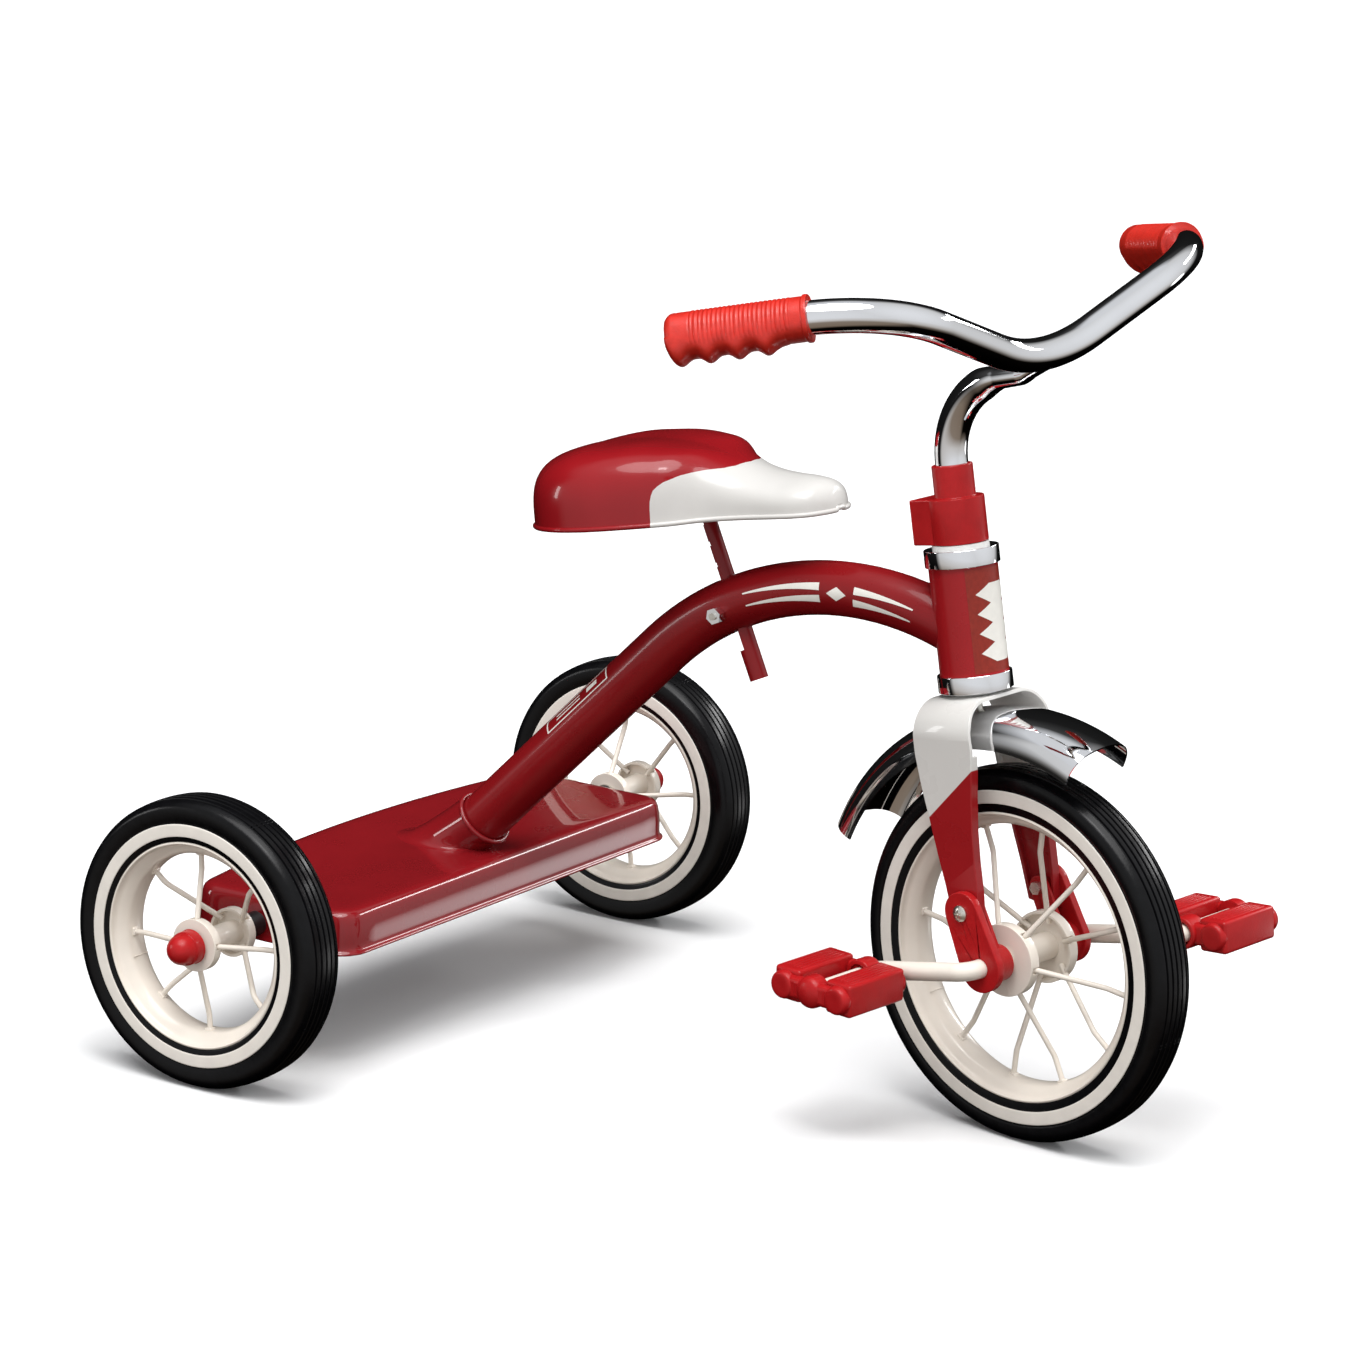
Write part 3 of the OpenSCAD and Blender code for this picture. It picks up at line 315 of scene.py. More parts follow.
def rounded_box(x, y, z, r, steps=4):
    """Box with half sizes x, y, z and rounded edges of radius r."""
    ang = [k * 90 / steps for k in range(steps + 1)]
    lat = [a - 90 for a in ang] + ang
    quad = [(1, 1, 0), (-1, 1, 90), (-1, -1, 180), (1, -1, 270)]
    verts = []
    for i, la in enumerate(lat):
        sz = -1 if i <= steps else 1
        cz = math.cos(math.radians(la))
        for sx, sy, base in quad:
            for a in ang:
                w = math.radians(base + a)
                verts.append((sx * (x - r) + r * cz * math.cos(w), sy * (y - r) + r * cz * math.sin(w),
                              sz * (z - r) + r * math.sin(math.radians(la))))
    n = 4 * (steps + 1)
    faces = ring_faces(len(lat), n)
    faces += [tuple(range(n))[::-1], tuple(range((len(lat) - 1) * n, len(lat) * n))]
    return verts, faces


# ------------------------------------------------------------------ wheels
def tyre(name, node, body, place, bead, ring, band, r, half):
    """Tyre of radius r and half width half. bead is its inner radius, and the white wall lies between the
    radii ring and band."""
    side = [(bead, half - 3.5), (bead + 0.3, half - 1.4), (ring, half - 0.6), (ring + 0.1, half - 0.2),
            (ring + 1.5, half - 0.05), (band - 1.2, half - 0.1), (band - 0.3, half - 0.3),
            (band + 0.3, half - 1.0), (band + 1.2, half - 0.9), (r - 12, half - 0.25), (r - 8, half),
            (r - 5, half - 0.6), (r - 2.6, half - 2.6), (r - 1.1, half - 5.5)]
    side = smooth_line(side, 3)
    tread, edge = [], half - 5.5
    grooves, groove_deep = 5, 1.5

    def crown(z):
        return r - 0.9 * abs(z / edge) ** 2.2

    for k in range(grooves):
        c = edge * (1 - (2 * k + 1) / grooves)
        w = edge / grooves * 0.30
        tread += [(crown(c + 2.4 * w), c + 2.4 * w), (crown(c + w), c + w + 0.25),
                  (crown(c) - groove_deep, c + 0.55 * w), (crown(c) - groove_deep, c - 0.55 * w),
                  (crown(c - w), c - w - 0.25), (crown(c - 2.4 * w), c - 2.4 * w)]
    prof = side + tread + [(a, -b) for a, b in reversed(side)]
    v, f = lathe(prof, segs=200)
    n = len(prof)
    mids = [((prof[k][0] + prof[(k + 1) % n][0]) / 2, abs(prof[k][1] + prof[(k + 1) % n][1]) / 2)
            for k in range(n)]
    mats = [1 if ring < mids[i % n][0] < band and mids[i % n][1] > half - 3 else 0 for i in range(len(f))]
    parts = [(v, f)]
    # mould marks: pairs of fine bars across the tread
    for a in (-26, 63, 154, 244):
        for d in (0, 2.4):
            bar = rounded_box(0.45, 0.45, half - 7, 0.4, 2)
            parts.append(moved(bar, R("Z", a + d * 57.3 / r) @ T(r - 0.75, 0, 0)))
            mats += [0] * len(bar[1])
    v, f = join(parts)
    new_object(name, v, f, body, [rubber, whitewall], [node], place, mats)


def rim(name, node, body, place, edge, well, half):
    """Pressed rim between the radii well and edge, with a weld seam across the well."""
    out = [(well + 1.4, 0), (well + 1.6, half * 0.25), (well + 2.6, half * 0.5), (edge - 5.0, half * 0.70),
           (edge - 1.9, half * 0.82), (edge - 0.2, half * 0.93), (edge, half - 0.5), (edge - 0.7, half + 0.1)]
    face = [(edge - 1.7, half - 0.1), (edge - 3.0, half * 0.80), (edge - 6.2, half * 0.66),
            (well + 1.2, half * 0.46), (well + 0.2, half * 0.2), (well, 0)]
    half_loop = smooth_line(out + face, 4)
    mirror = [(a, -b) for a, b in reversed(half_loop)]
    v, f = lathe(half_loop + mirror[1:-1], segs=200)
    seam = sweep([(well - 0.05, 0, z) for z in (-half * 0.45, 0, half * 0.45)], 0.35, 8)
    v, f = join([(v, f), moved(seam, R("Z", 200))])
    new_object(name, v, f, body, cream, [node], place)


def spokes(name, node, body, place, sets, radius):
    """Bent wire spokes with flattened feet. A set is its count, first angle, the radius and height of the
    hub end, the radius and height of the bend, and the radius of the rim."""
    parts = []
    for count, angle, r0, z0, kink, zk, r1 in sets:
        d = Vector((kink - r0, 0, zk - z0)).normalized()
        path = [(r0, 0, z0), (r0 + 2, 0, z0 + d.z * 1.2)] + \
            filleted([(r0 + 4, 0, z0 + 4 * d.z / d.x), (kink, 0, zk), (r1 + 0.6, 0, zk * 0.9)], [14], 1.5)
        for k in range(count):
            parts.append(moved(sweep(path, radius, 12), R("Z", angle + k * 360 / count)))
            foot = rounded_box(2.6, 2.9, 1.0, 0.9, 3)
            parts.append(moved(foot, R("Z", angle + k * 360 / count) @ T(r1 - 0.1, 0, zk * 0.9) @ R("Y", 90)))
    v, f = join(parts)
    new_object(name, v, f, body, cream, [node], place)


tyre("front_tyre_rubber", "front_tyre", "front_wheel", FRONT, 98.5, 104.2, 113.4, 127.0, 17.5)
rim("front_rim_shell", "front_rim", "front_wheel", FRONT, 98.4, 88.0, 16.3)
spokes("front_wire_spokes", "front_spokes", "front_wheel", FRONT,
       [(6, -16.0, 17, 20.1, 71, 2.2, 88), (6, 14.0, 17, -20.1, 71, -2.2, 88)], 1.9)
for side, tag in ((1, "right"), (-1, "left")):
    m = rear_wheel(side)
    b = "rear_wheel_" + tag
    tyre("rear_tyre_rubber_" + tag, "rear_tyre_" + tag, b, m, 71.6, 75.3, 84.0, 100.4, 18.5)
    rim("rear_rim_shell_" + tag, "rear_rim_" + tag, b, m, 71.5, 61.0, 17.0)
    a_out, a_in = (4.4, 49.4) if side > 0 else (49.4, 4.4)
    spokes("rear_wire_spokes_" + tag, "rear_spokes_" + tag, b, m,
           [(4, a_out, 12, 11.1, 50.5, 2.2, 61), (4, a_in, 12, -27.1, 50.5, -2.2, 61)], 1.9)
    cap = smooth_line([(0.01, 20.2), (3.2, 19.8), (6.4, 18.2), (9.0, 15.2), (10.4, 11.5), (10.9, 8.2),
                       (11.5, 7.4), (11.5, 0.8), (11.0, 0.0), (0.01, 0.0)], 5)
    v, f = lathe([(max(r, 0.01), z) for r, z in cap], segs=64, closed=False)
    new_object("hub_cap_dome_" + tag, v, f, "frame", plastic, ["hub_cap_" + tag],
               m @ T(0, 0, 17.5))

# ------------------------------------------------------------------ handlebar, stem and grips
BAR_R = 11.0
grip_dir = Vector((-0.834, 0.52, -0.184))
corner = Vector((492, 160, 583))
end = corner + grip_dir * 132
bar_low = Vector((484, 0, 521))


def flip(p):
    return Vector((p[0], -p[1], p[2]))


path = filleted([flip(end), flip(corner), bar_low, corner, end], [85, 130, 85], 2.5)
v, f = sweep(path, BAR_R, 48)
new_object("handlebar_tube", v, f, "steering", chrome, ["handlebar"], BARS)

axis = Vector((-LEAN_S, 0, LEAN_C))
stem_corner = Vector((402.7, 0, 496.7))
path = filleted([stem_corner - axis * 142, stem_corner, (472, 0, 514.9), (490, 0, 525.5)], [55, 25], 2.0)


def crimp(t):
    """The stem is flattened where it is welded under the bar."""
    k = max(0.0, (t - 0.70) / 0.30)
    return 1 - 0.35 * k ** 2, 1 - 0.62 * k ** 1.1


v, f = sweep(path, BAR_R, 48, squash=crimp)
new_object("stem_tube", v, f, "steering", chrome, ["handlebar_stem"], BARS)


def grip(name, node, mirror):
    """Moulded grip, z along it: a rounded-square finger side with teeth, ribs on top, a lip at its mouth
    and a rounded closed end."""
    length, r0, turn = 91.0, 14.0, math.radians(180 - 30)
    tooth_pitch, first_tooth, rib_pitch = 18.5, 28.4, 2.9
    power = 2.7
    n, rows = 120, 300
    verts = []
    for i in range(rows + 1):
        z = length * i / rows
        wave = 0.5 + 0.5 * math.cos(2 * math.pi * (z - first_tooth) / tooth_pitch)
        fade = min(1.0, max(0.0, (z - 15) / 7))
        depth = r0 + fade * (1.7 + 4.2 * wave ** 1.5)
        if z > length - 3:
            depth -= 3.0 * ((z - length + 3) / 3) ** 2
        for k in range(n):
            a = 2 * math.pi * k / n
            d = math.atan2(math.sin(a - turn), math.cos(a - turn))
            r = r0
            if abs(d) < math.pi / 2:
                r = (abs(math.cos(d) / depth) ** power + abs(math.sin(d) / r0) ** power) ** (-1 / power)
                square = abs(math.cos(d)) ** 0.5
                r = r * square + r0 * (1 - square) if depth < r0 + 0.2 else r
            if z < 3.5:
                r += 0.9 * min(1.0, (3.5 - z) / 0.7) * (0.6 if z < 0.5 else 1.0)
            if z > length - 5:
                q = (z - length + 5) / 5
                r -= 3.2 * q * q * (1 if abs(d) > 1.2 else 0.5)
            up = math.cos(a)
            if 11 < z < 75 and up > -0.25:
                rib = abs(math.sin(math.pi * (z - 11) / rib_pitch)) ** 0.7 - 0.6
                r += 0.75 * min(1.0, (up + 0.25) * 6) * rib
            verts.append((r * math.cos(a), r * math.sin(a), z))
    faces = ring_faces(rows + 1, n)
    faces += [tuple(range(rows * n, rows * n + n))]
    ring = len(verts)
    mouth_r = 10.9
    verts += [(mouth_r * math.cos(2 * math.pi * k / n), mouth_r * math.sin(2 * math.pi * k / n), 1.2)
              for k in range(n)]
    faces += [(k, (k + 1) % n, ring + (k + 1) % n, ring + k) for k in range(n)]
    z = grip_dir.normalized()
    up = (Vector((0, 0, 1)) - z * z.z).normalized()
    side = z.cross(up)
    m = Matrix((up, side, z)).transposed().to_4x4()
    at = T(*(corner + z * 49)) @ m
    if mirror:
        at = Matrix.Diagonal((1, -1, 1, 1)) @ at
    new_object(name, verts, faces, "steering", grip_red, [node], BARS @ at, sharp=60)


grip("finger_grip_left", "grip_left", False)
grip("finger_grip_right", "grip_right", True)

# ------------------------------------------------------------------ fender
FENDER_R = 166.0
# how far the skin has fallen from the crown at each place across it
fall = [(0, 0.0), (0.6, 9), (2.4, 17), (6, 23.8), (11.5, 28.3), (17, 29.9), (23, 30.0)]
skin = smooth_line([(FENDER_R - d, -z) for d, z in fall[:0:-1]] + [(FENDER_R - d, z) for d, z in fall], 5)
inner = [(r - 1.2 * max(0.25, 1 - ((abs(z) - 14) / 16 if abs(z) > 14 else 0)), z * (1 - 1.3 / 30))
         for r, z in skin]
fender_segs = 90
v, f = lathe(skin + inner[::-1], 58.5, 147, fender_segs)
# the end faces are rebuilt as strips between the outer and the inner skin
f = [q for q in f if len(q) == 4]
loop_n, skin_n = 2 * len(skin), len(skin)
for end_row in (0, fender_segs * loop_n):
    f += [(end_row + k, end_row + k + 1, end_row + loop_n - 2 - k, end_row + loop_n - 1 - k)
          for k in range(skin_n - 1)]
new_object("fender_skin", v, f, "steering", chrome, ["fender"], FRONT, sharp=50)

# ------------------------------------------------------------------ rear deck
HALF_W, DECK_FRONT, DECK_BACK, BOW, CORNER = 202.0, 76.0, -64.0, 16.0, 22.0
TOP, BOTTOM = 118.0, 88.0


def arc(cx, cy, r, start, turn, steps=8):
    """Points on a circle, from the angle start through turn degrees."""
    angles = [math.radians(start + turn * k / steps) for k in range(steps + 1)]
    return [(cx + r * math.cos(a), cy + r * math.sin(a)) for a in angles]


def deck_loop(inset):
    """Plan outline of the deck: rounded corners, a straight front and a bowed back."""
    r = max(CORNER - inset, 1.5)
    x1, x0, y1 = DECK_FRONT - inset, DECK_BACK + inset, HALF_W - inset
    yc, side_steps = y1 - r, 24
    pts = arc(x1 - r, -yc, r, -90, 90)
    pts += [(x1, -yc + yc * 2 * k / side_steps) for k in range(1, side_steps)]
    pts += arc(x1 - r, yc, r, 0, 90) + arc(x0 + r, yc, r, 90, 80)
    pts += [(x0 - BOW * (1 - (y / yc) ** 2), y)
            for y in (yc * (1 - 2 * k / side_steps) for k in range(1, side_steps))]
    return pts + arc(x0 + r, -yc, r, 190, 80)


# (inset, height) up the outside from the rolled bottom lip, then up the inside
levels = [(0.2, BOTTOM + 0.2), (0.0, BOTTOM + 0.9), (0.3, BOTTOM + 1.6), (1.2, BOTTOM + 2.2),
          (2.3, BOTTOM + 3.6), (2.55, BOTTOM + 5), (2.62, BOTTOM + 8), (2.7, BOTTOM + 13),
          (3.15, BOTTOM + 17.5), (3.7, TOP - 8.5), (4.4, TOP - 5.3), (5.5, TOP - 3.0), (7.6, TOP - 1.2),
          (10.5, TOP - 0.35), (14, TOP), (20, TOP), (30, TOP)]
inside = [(0.9, BOTTOM + 0.2), (2.4, BOTTOM + 0.9), (4.2, BOTTOM + 6), (4.7, TOP - 16), (5.3, TOP - 9),
          (7.4, TOP - 4.2), (11.5, TOP - 2.0), (30, TOP - 1.7)]
verts, faces = [], []


def add_levels(rows, flip_faces):
    """One skin of the pan, closed by its top."""
    base = len(verts)
    n = len(deck_loop(0))
    for inset, z in rows:
        verts.extend((x, y, z) for x, y in deck_loop(inset))
    for i in range(len(rows) - 1):
        for k in range(n):
            here, there = base + i * n, base + (i + 1) * n
            q = (here + k, here + (k + 1) % n, there + (k + 1) % n, there + k)
            faces.append(q[::-1] if flip_faces else q)
    last = base + (len(rows) - 1) * n
    faces.append(tuple(range(last, last + n)))
    return base, n


b0, n = add_levels(levels, False)
b1, n = add_levels(inside, True)
faces.extend((b0 + k, b0 + (k + 1) % n, b1 + (k + 1) % n, b1 + k) for k in range(n))
new_object("deck_pan", verts, faces, "frame", deck_paint, ["rear_deck"], REAR, sharp=35)

# socket drawn up round the foot of the tube: an ellipse on the deck lofted to a ring on the tube
foot = Vector((26.05, 0, 120))
along = Vector((math.sqrt(0.5), 0, math.sqrt(0.5)))
across = Vector((math.sqrt(0.5), 0, -math.sqrt(0.5)))
SOCKET_N = 72


def tube_ring(a, up_tube, r):
    """Point at the angle a on a ring round the tube."""
    return foot + along * up_tube + across * (r * math.cos(a)) + Vector((0, r * math.sin(a), 0))


verts = []
# how far each ring spreads on the deck, and how far it has gone over to the ring on the tube
flare = [(14, 0), (8.5, 0.03), (5.2, 0.12), (2.8, 0.32), (1.2, 0.66), (0, 1)]
for grow, mix in flare:
    for a in (2 * math.pi * k / SOCKET_N for k in range(SOCKET_N)):
        low = Vector((13 + (27 + grow) * math.cos(a), (19.5 + grow * 0.8) * math.sin(a), TOP - 0.3))
        verts.append(tuple(low.lerp(tube_ring(a, 27, 20.6), mix)))
bead_path = [tube_ring(2 * math.pi * k / SOCKET_N, 27.4, 20.2) for k in range(SOCKET_N + 1)]
v, f = join([(verts, ring_faces(len(flare), SOCKET_N)), sweep(bead_path, 1.7, 12, caps=False)])
new_object("deck_socket", v, f, "frame", deck_paint, (), REAR, sharp=60)

# ------------------------------------------------------------------ seat
# (place along the seat, half width, height at the sides, height along the middle)
stations = [(-86.3, 5, 7, 7), (-85.9, 11, 16, 16), (-85, 17, 24, 24), (-81, 42, 36.5, 35.5),
            (-73, 59, 46, 43.5), (-58, 73, 52.5, 48), (-39, 80, 57.5, 51), (-18, 80, 58.5, 51),
            (2, 74, 58.5, 50.5), (20, 66, 56.5, 48.5), (36, 57, 53, 44.5), (51, 43, 43, 39.5),
            (68, 36, 33, 33), (84, 33, 27, 28), (100, 32, 23, 25), (114, 30, 21.5, 23), (125, 25, 19, 20),
            (131.5, 16, 14, 15), (134, 10, 8.5, 9), (135, 4, 3.5, 3.5)]
rows = smooth_line(stations, 6)
row_x = [r[0] for r in rows]
SEAT_N = 72
SPLIT_X = 47.0


def seat_point(s, t, inset):
    """Point on the pan at a station, t degrees round from the right edge (-90) to the left (90)."""
    x, w, hi, mid = s
    w = max(w - inset, 1)
    t = math.radians(t)
    side = math.sin(t)
    crown = mid + (hi - mid) * abs(side) ** 1.5 / 0.6 - inset
    return (x - (inset if x > 0 else -inset), w * side, max(crown, 0.5) * max(math.cos(t), 0) ** 0.55)


# where the red stops and the white starts, from the edge (-90) to the middle (0)
boundary = [(-90, 25.5), (-84, 26.5), (-80, 28.5), (-76, 33), (-72, 39), (-65, 45), (-58, 50), (-48, 56.5),
            (-38, 62), (-24, 66.5), (0, 69)]


def boundary_x(t):
    t = -abs(t)
    for (a, xa), (b, xb) in zip(boundary, boundary[1:]):
        if t <= b:
            return xa + (xb - xa) * (t - a) / (b - a)
    return boundary[-1][1]


def station_at(x):
    """Station at any place along the seat."""
    last = len(row_x) - 2
    j = next((q for q in range(last + 1) if row_x[q + 1] >= x), last)
    g = (x - row_x[j]) / max(row_x[j + 1] - row_x[j], 1e-6)
    return tuple(a * (1 - g) + b * g for a, b in zip(rows[j], rows[j + 1]))


def seat_sheet(inset):
    """The pan's rows, pulled on to the colour boundary so that the edge between the paints is crisp."""
    sheet = []
    for x in row_x:
        near = max(0.0, 1 - abs(x - SPLIT_X) / (132 if x < SPLIT_X else 85))
        row = []
        for k in range(SEAT_N + 1):
            t = -90 + 180 * k / SEAT_N
            pulled = x + (boundary_x(t) - SPLIT_X) * near ** 1.5
            row.append(seat_point(station_at(min(max(pulled, row_x[0]), row_x[-1])), t, inset))
        sheet.append(row)
    return sheet


split_row = min(range(len(rows)), key=lambda i: abs(row_x[i] - SPLIT_X))
verts = [p for inset in (0, 1.6) for row in seat_sheet(inset) for p in row]
faces, fmat = [], []
nr, c = len(rows), SEAT_N + 1
for base in (0, nr * c):
    for i in range(nr - 1):
        for k in range(SEAT_N):
            here, there = base + i * c + k, base + (i + 1) * c + k
            faces.append((here, here + 1, there + 1, there))
            fmat.append(1 if i >= split_row else 0)
off = nr * c
rim_ids = [i * c for i in range(nr)] + [(nr - 1) * c + k for k in range(1, c)] + \
    [i * c + SEAT_N for i in range(nr - 2, -1, -1)] + list(range(SEAT_N - 1, 0, -1))
WHITE_FROM = 25
for a, b in zip(rim_ids, rim_ids[1:] + rim_ids[:1]):
    faces.append((a, b, b + off, a + off))
    fmat.append(1 if verts[a][0] > WHITE_FROM else 0)
# rolled lip round the bottom edge
loop = [Vector((verts[i][0], verts[i][1], min(verts[i][2], 1.2))) for i in rim_ids]
clean = [loop[0]]
for p in loop[1:]:
    if (p - clean[-1]).length > 1.2:
        clean.append(p)
lv, lf = sweep(clean + [clean[0], clean[1]], 1.7, 12, caps=False)
base = len(verts)
verts += lv
for q in lf:
    faces.append(tuple(i + base for i in q))
    fmat.append(1 if lv[q[0]][0] > WHITE_FROM else 0)
new_object("seat_pan", verts, faces, "seat", [seat_red, seat_white], ["seat_shell"], SEAT, fmat,
           60)

# ------------------------------------------------------------------ pedals
CRANK_ANGLE, CRANK_LENGTH = 191.0 - LEAN, 75.0
for side, tag, tilt in ((1, "right", 0.0), (-1, "left", 5.0)):
    a = math.radians(CRANK_ANGLE)
    place = FRONT @ T(side * CRANK_LENGTH * math.cos(a), side * CRANK_LENGTH * math.sin(a), 0) @ \
        R("Z", tilt - LEAN) @ Matrix.Diagonal((1, 1, side, 1)) @ T(0, 0, 72)
    parts = []
    for s in (-1, 1):
        parts.append(moved(rounded_box(10.9, 11.2, 27.2, 2.4, 4), T(s * 22.2, 0, 30.4)))
        for e, half in ((4.4, 4.4), (58.2, 4.8)):
            lobe = smooth_line([(0.01, -half), (6.6, -half), (8.9, -half * 0.78), (9.9, 0),
                                (8.9, half * 0.78), (6.6, half), (0.01, half)], 4)
            parts.append(moved(lathe([(max(p, 0.01), q) for p, q in lobe], segs=48, closed=False),
                               T(s * 23.3, 0, e)))
        for k in (-6.4, -3.2, 0.0, 3.2, 6.4):
            for t in (-1, 1):
                parts.append(moved(rounded_box(0.75, 0.55, 21.5, 0.5, 2), T(s * 22.2 + k, t * 11.15, 30)))
        for e in (5.4, 57.4):
            parts.append(moved(rounded_box(10.5, 7.6, 4.6, 3.2, 4), T(s * 11.0, 0, e)))
    for e in (5.5, 57.4):
        parts.append(moved(rounded_box(14, 6.6, 4.8, 2.6, 4), T(0, 0, e)))
    inner_boss = smooth_line([(8.1, -1.5), (9.9, -1.5), (10.8, -0.6), (11, 2), (11, 10.5), (10.3, 11.8),
                              (8.1, 12)], 3)
    parts.append(lathe(inner_boss, segs=48))
    dome = smooth_line([(0.01, 65.4), (3, 65.2), (6.6, 64.2), (9.4, 62.4), (10.8, 59.8), (11, 57), (11, 53),
                        (10, 51.6), (0.01, 51.4)], 3)
    parts.append(lathe([(max(p, 0.01), q) for p, q in dome], segs=48, closed=False))
    v, f = join(parts)
    new_object("pedal_block_" + tag, v, f, "pedal_" + tag, plastic, ["pedal_" + tag], place,
               sharp=50)


# ------------------------------------------------------------------ head badge and frame decals
def patch(fn, m, n):
    """Grid of m by n quads over a function of two fractions."""
    verts = [fn(i / m, j / n) for i in range(m + 1) for j in range(n + 1)]
    w = n + 1
    faces = [(i * w + j, (i + 1) * w + j, (i + 1) * w + j + 1, i * w + j + 1)
             for i in range(m) for j in range(n)]
    return verts, faces


def head_point(ang, z, lift):
    """Point on the head tube, lifted off it."""
    r = 23 + lift
    return (r * math.cos(math.radians(ang)), r * math.sin(math.radians(ang)), z)


v, f = patch(lambda u, w: head_point(-58 + 116 * u, -34.5 + 69 * w, 0.12), 48, 8)
new_object("head_badge", v, f, "frame", badge_red, (), HEAD)
parts = []
teeth, z0, z1 = 4, -28.0, 24.0
pitch = (z1 - z0) / teeth
for k in range(teeth):
    lo = z0 + k * pitch

    def tooth(u, w, lo=lo):
        ang = -44 + 27 * u
        half = pitch * 0.5 * u
        return head_point(ang, lo + pitch * 0.5 + half * (2 * w - 1), 0.2)

    for mirror in (1, -1):
        tv, tf = patch(tooth, 14, 4)
        parts.append(([(x, mirror * y, z) for x, y, z in tv], tf))
parts.append(patch(lambda u, w: head_point(-17 + 34 * u, z0 + (z1 - z0) * w, 0.2), 14, 6))
v, f = join(parts)
new_object("head_badge_trim", v, f, "frame", decal_white, (), HEAD)

ARCH_R, ARCH_X, ARCH_Z = 217.0, 346.2, 133.3


def tube_point(deg, phi, lift=0.14):
    """Point on the main tube: deg back along the arch from its crest, phi from the right side upwards."""
    a = math.radians(90 + deg)
    out = Vector((math.cos(a), 0, math.sin(a)))
    centre = Vector((ARCH_X, 0, ARCH_Z)) + out * ARCH_R
    if deg > 45:
        a = math.radians(135)
        out = Vector((math.cos(a), 0, math.sin(a)))
        centre = Vector((ARCH_X, 0, ARCH_Z)) + out * ARCH_R - along * (math.radians(deg - 45) * ARCH_R)
    r, phi = 18.5 + lift, math.radians(phi)
    return tuple(centre + out * (r * math.sin(phi)) + Vector((0, -r * math.cos(phi), 0)))


parts = []
# two pairs of tapering bars with a diamond between them
for lo, hi, h0, h1 in ((21.5, 5.5, 3, 16), (-1.5, -13.5, 16, 3)):
    for middle in (13, -13):
        def bar(u, w, lo=lo, hi=hi, h0=h0, h1=h1, middle=middle):
            half = (h0 + (h1 - h0) * u) * 0.5
            return tube_point(lo + (hi - lo) * u, middle + half * (2 * w - 1))
        parts.append(patch(bar, 30, 6))
parts.append(patch(
    lambda u, w: tube_point(2 + 2.0 * (2 * u - 1) * (1 - abs(2 * w - 1)), 15 * (2 * w - 1)), 8, 12))
v, f = join(parts)
new_object("tube_stripes", v, f, "frame", decal_white, (), REAR)
# outlined empty label on the straight of the tube: two ends, two sides and a plain inner frame
parts = []
d0, d1, p0, p1 = 56.0, 74.0, 26.0, 62.0
for a0, a1, q0, q1 in ((d0, d0 + 0.35, p0, p1), (d1 - 0.35, d1, p0, p1),
                       (d0, d1, p0, p0 + 3), (d0, d1, p1 - 3, p1),
                       (d0 + 3, d0 + 6, p0 + 12, p1 - 12), (d0 + 8, d1 - 3, p0 + 12, p0 + 15),
                       (d0 + 8, d1 - 3, p1 - 15, p1 - 12)):
    parts.append(patch(
        lambda u, w, a0=a0, a1=a1, q0=q0, q1=q1: tube_point(a0 + (a1 - a0) * u, q0 + (q1 - q0) * w), 10, 6))
v, f = join(parts)
new_object("tube_label", v, f, "frame", decal_white, (), REAR)

# ------------------------------------------------------------------ carried-over CAD nodes
FINISH = {
    # the head tube takes the lighter copy of the frame red, which is a painted highlight
    head_red_painted_highlight: ["head_tube"],
    paint: ["frame_tube", "axle_bracket_right", "axle_bracket_left", "seat_post"],
    fork_paint: ["fork"],
    cream: ["rear_hub_right", "rear_hub_left", "front_hub", "front_flange_right", "front_flange_left",
            "crank"],
    chrome: ["upper_cup", "lower_cup", "seat_clamp_nut"],
    zinc: ["rear_axle", "rear_washers", "seat_clamp_bolt", "seat_bracket", "seat_studs", "steerer_tube",
           "fender_bolt", "fender_nut", "bracket_screws", "bracket_nuts", "collar_screw", "collar_nut",
           "pedal_cap_right", "pedal_cap_left"],
    plastic: ["bearing_bracket_right", "bearing_bracket_left", "stem_collar"],
    white_plastic: ["upper_bushing", "lower_bushing", "rear_bushings_right", "rear_bushings_left"],
    black_plastic: ["axle_spacer_right", "axle_spacer_left"],
}
BEVEL = {"fork": 0.5, "stem_collar": 1.2, "bearing_bracket_right": 0.8, "bearing_bracket_left": 0.8,
         "upper_cup": 0.5, "lower_cup": 0.5, "front_flange_right": 0.4, "front_flange_left": 0.4,
         "rear_hub_right": 0.4, "rear_hub_left": 0.4, "bracket_screws": 0.2}
for mat, names in FINISH.items():
    for name in names:
        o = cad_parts[name]
        o.data.materials.clear()
        o.data.materials.append(mat)
        if name in BEVEL:
            w = o.modifiers.new("weld", "WELD")
            w.merge_threshold = 0.00001
            b = o.modifiers.new("edge", "BEVEL")
            b.width = BEVEL[name] * 0.001
            b.segments = 3
            b.limit_method = "ANGLE"
            b.angle_limit = math.radians(50)
            b.harden_normals = False

# ------------------------------------------------------------------ floor, light and camera
floor_mat = material("floor_paper", (0.92, 0.92, 0.92), 0.8, mottle=0.01, scale=3, bump=0.01, bump_scale=40,
                     spec=0.1)
bpy.ops.mesh.primitive_circle_add(vertices=128, radius=40, fill_type="NGON", location=(0, 0, 0))
floor = bpy.context.object
floor.name = "floor"
floor.data.materials.append(floor_mat)
floor.visible_diffuse = False
floor.visible_glossy = False

# a studio dome: bright and soft overhead and on the camera's side, dim low down and behind
world = bpy.data.worlds.new("studio")
bpy.context.scene.world = world
world.use_nodes = True
wn, wl = world.node_tree.nodes, world.node_tree.links.new
wtc = wn.new("ShaderNodeTexCoord")


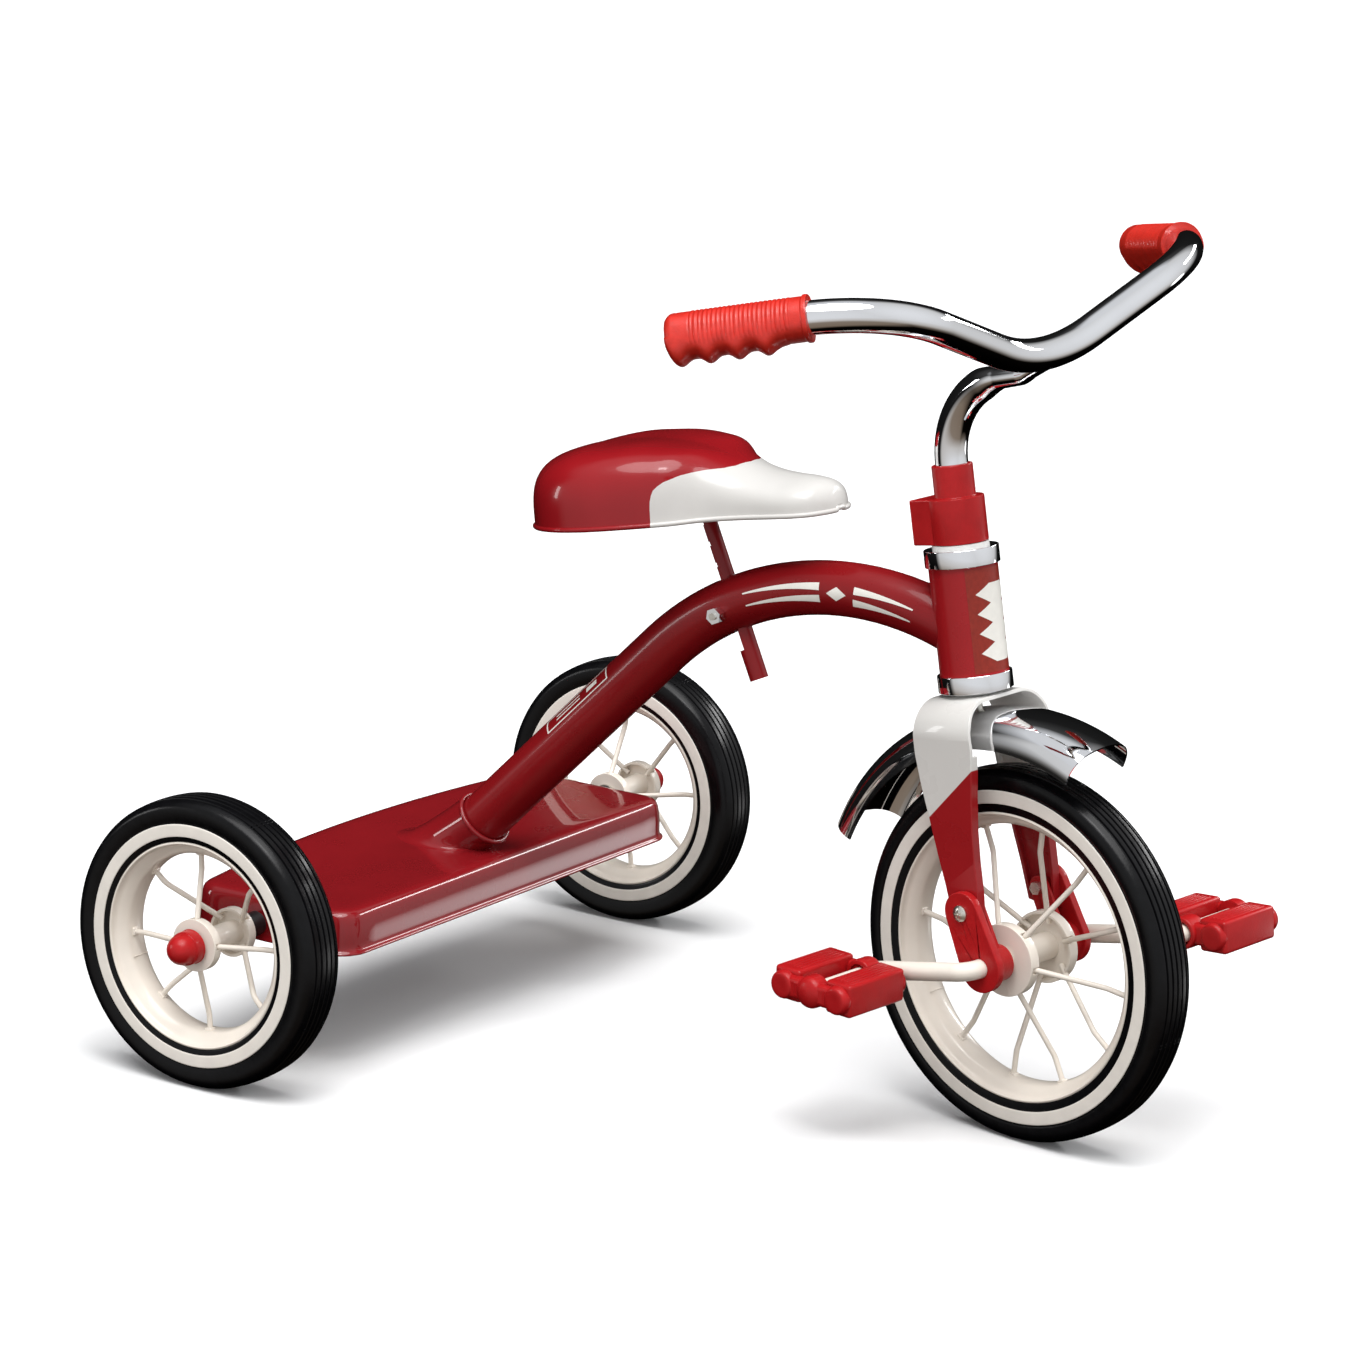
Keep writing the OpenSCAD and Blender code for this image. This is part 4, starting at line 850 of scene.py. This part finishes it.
def dome_ramp(direction, stops):
    """Brightness of the dome by its closeness to a direction: stops are (cosine, colour)."""
    dot = wn.new("ShaderNodeVectorMath")
    dot.operation = "DOT_PRODUCT"
    dot.inputs[1].default_value = Vector(direction).normalized()
    wl(wtc.outputs["Generated"], dot.inputs[0])
    rng = wn.new("ShaderNodeMapRange")
    rng.inputs["From Min"].default_value = -1.0
    wl(dot.outputs["Value"], rng.inputs["Value"])
    ramp = wn.new("ShaderNodeValToRGB")
    e = ramp.color_ramp.elements
    while len(e) < len(stops):
        e.new(0.5)
    for el, (p, col) in zip(e, stops):
        el.position, el.color = (p + 1) / 2, [*col, 1]
    wl(rng.outputs["Result"], ramp.inputs["Fac"])
    return ramp.outputs["Color"]


side = dome_ramp((0.45, -0.87, 0.20), [(-1.0, (0.0,) * 3), (0.12, (0.0,) * 3), (0.36, (0.62,) * 3),
                                       (1.0, (0.76, 0.77, 0.79))])
sky = dome_ramp((0.18, -0.36, 0.90), [(-1.0, (0.0,) * 3), (0.22, (0.012,) * 3), (0.50, (0.05,) * 3),
                                      (0.70, (0.66, 0.67, 0.69)), (1.0, (0.74, 0.75, 0.77))])
low = dome_ramp((0, 0, 1), [(-1.0, (0.30, 0.22, 0.16)), (-0.50, (0.34, 0.27, 0.21)),
                            (-0.30, (0.80, 0.76, 0.72)),
                            (-0.05, (1.0, 1.0, 1.0))])
front = dome_ramp((0.80, 0.15, 0.50), [(-1.0, (0.0,) * 3), (0.34, (0.0,) * 3), (0.60, (0.62,) * 3),
                                       (1.0, (0.80, 0.81, 0.83))])
glow = dome_ramp((0.53, 0.81, -0.23), [(-1.0, (0.0,) * 3), (0.9955, (0.0,) * 3), (0.998, (3.4,) * 3),
                                       (1.0, (3.6,) * 3)])


def blend(kind, a, b):
    mix = wn.new("ShaderNodeMix")
    mix.data_type, mix.blend_type = "RGBA", kind
    mix.inputs["Factor"].default_value = 1.0
    wl(a, mix.inputs["A"])
    wl(b, mix.inputs["B"])
    return mix.outputs["Result"]


dome = blend("ADD", blend("MULTIPLY", blend("LIGHTEN", blend("LIGHTEN", side, sky), front), low), glow)
bg = wn["Background"]
wl(dome, bg.inputs["Color"])
bg.inputs["Strength"].default_value = 1.0


def area(name, at, to, size, power, size_y):
    light = bpy.data.lights.new(name, "AREA")
    light.energy, light.size, light.shape = power, size, "RECTANGLE"
    light.size_y = size_y
    o = bpy.data.objects.new(name, light)
    o.location = at
    o.rotation_euler = (Vector(to) - Vector(at)).to_track_quat("-Z", "Y").to_euler()
    o.visible_camera = False
    bpy.context.scene.collection.objects.link(o)
    return o


area("key_top", (0.5, -1.2, 2.6), (0, 0, 0.2), 0.6, 9, 0.35)
area("far_strip", (1.3, 3.2, 1.9), (0, 0, 0.2), 2.2, 38, 0.35)
area("left_strip", (-2.4, -1.6, 0.7), (0, 0, 0.25), 0.3, 7, 0.8)
sun = bpy.data.lights.new("sky", "SUN")
sun.energy, sun.angle, sun.specular_factor = 2.75, math.radians(50), 0.0
so = bpy.data.objects.new("sky", sun)
so.rotation_euler = (math.radians(16), math.radians(10), 0)
bpy.context.scene.collection.objects.link(so)

cam = bpy.data.cameras.new("view")
cam.lens, cam.sensor_width = 131.86, 36.0
cam.clip_start, cam.clip_end = 0.05, 200
co = bpy.data.objects.new("view", cam)
bpy.context.scene.collection.objects.link(co)
az, el, roll = math.radians(32.69), math.radians(13.91), math.radians(1.95)
back = Vector((math.sin(az) * math.cos(el), -math.cos(az) * math.cos(el), math.sin(el)))
right = Vector((math.cos(az), math.sin(az), 0))
upward = right.cross(-back)
r2 = right * math.cos(roll) + upward * math.sin(roll)
u2 = -right * math.sin(roll) + upward * math.cos(roll)
m = Matrix((r2, u2, back)).transposed().to_4x4()
m.translation = (1.73864, -2.79065, 1.08725)
co.matrix_world = m
bpy.context.scene.camera = co
bpy.context.scene.view_settings.view_transform = "Standard"
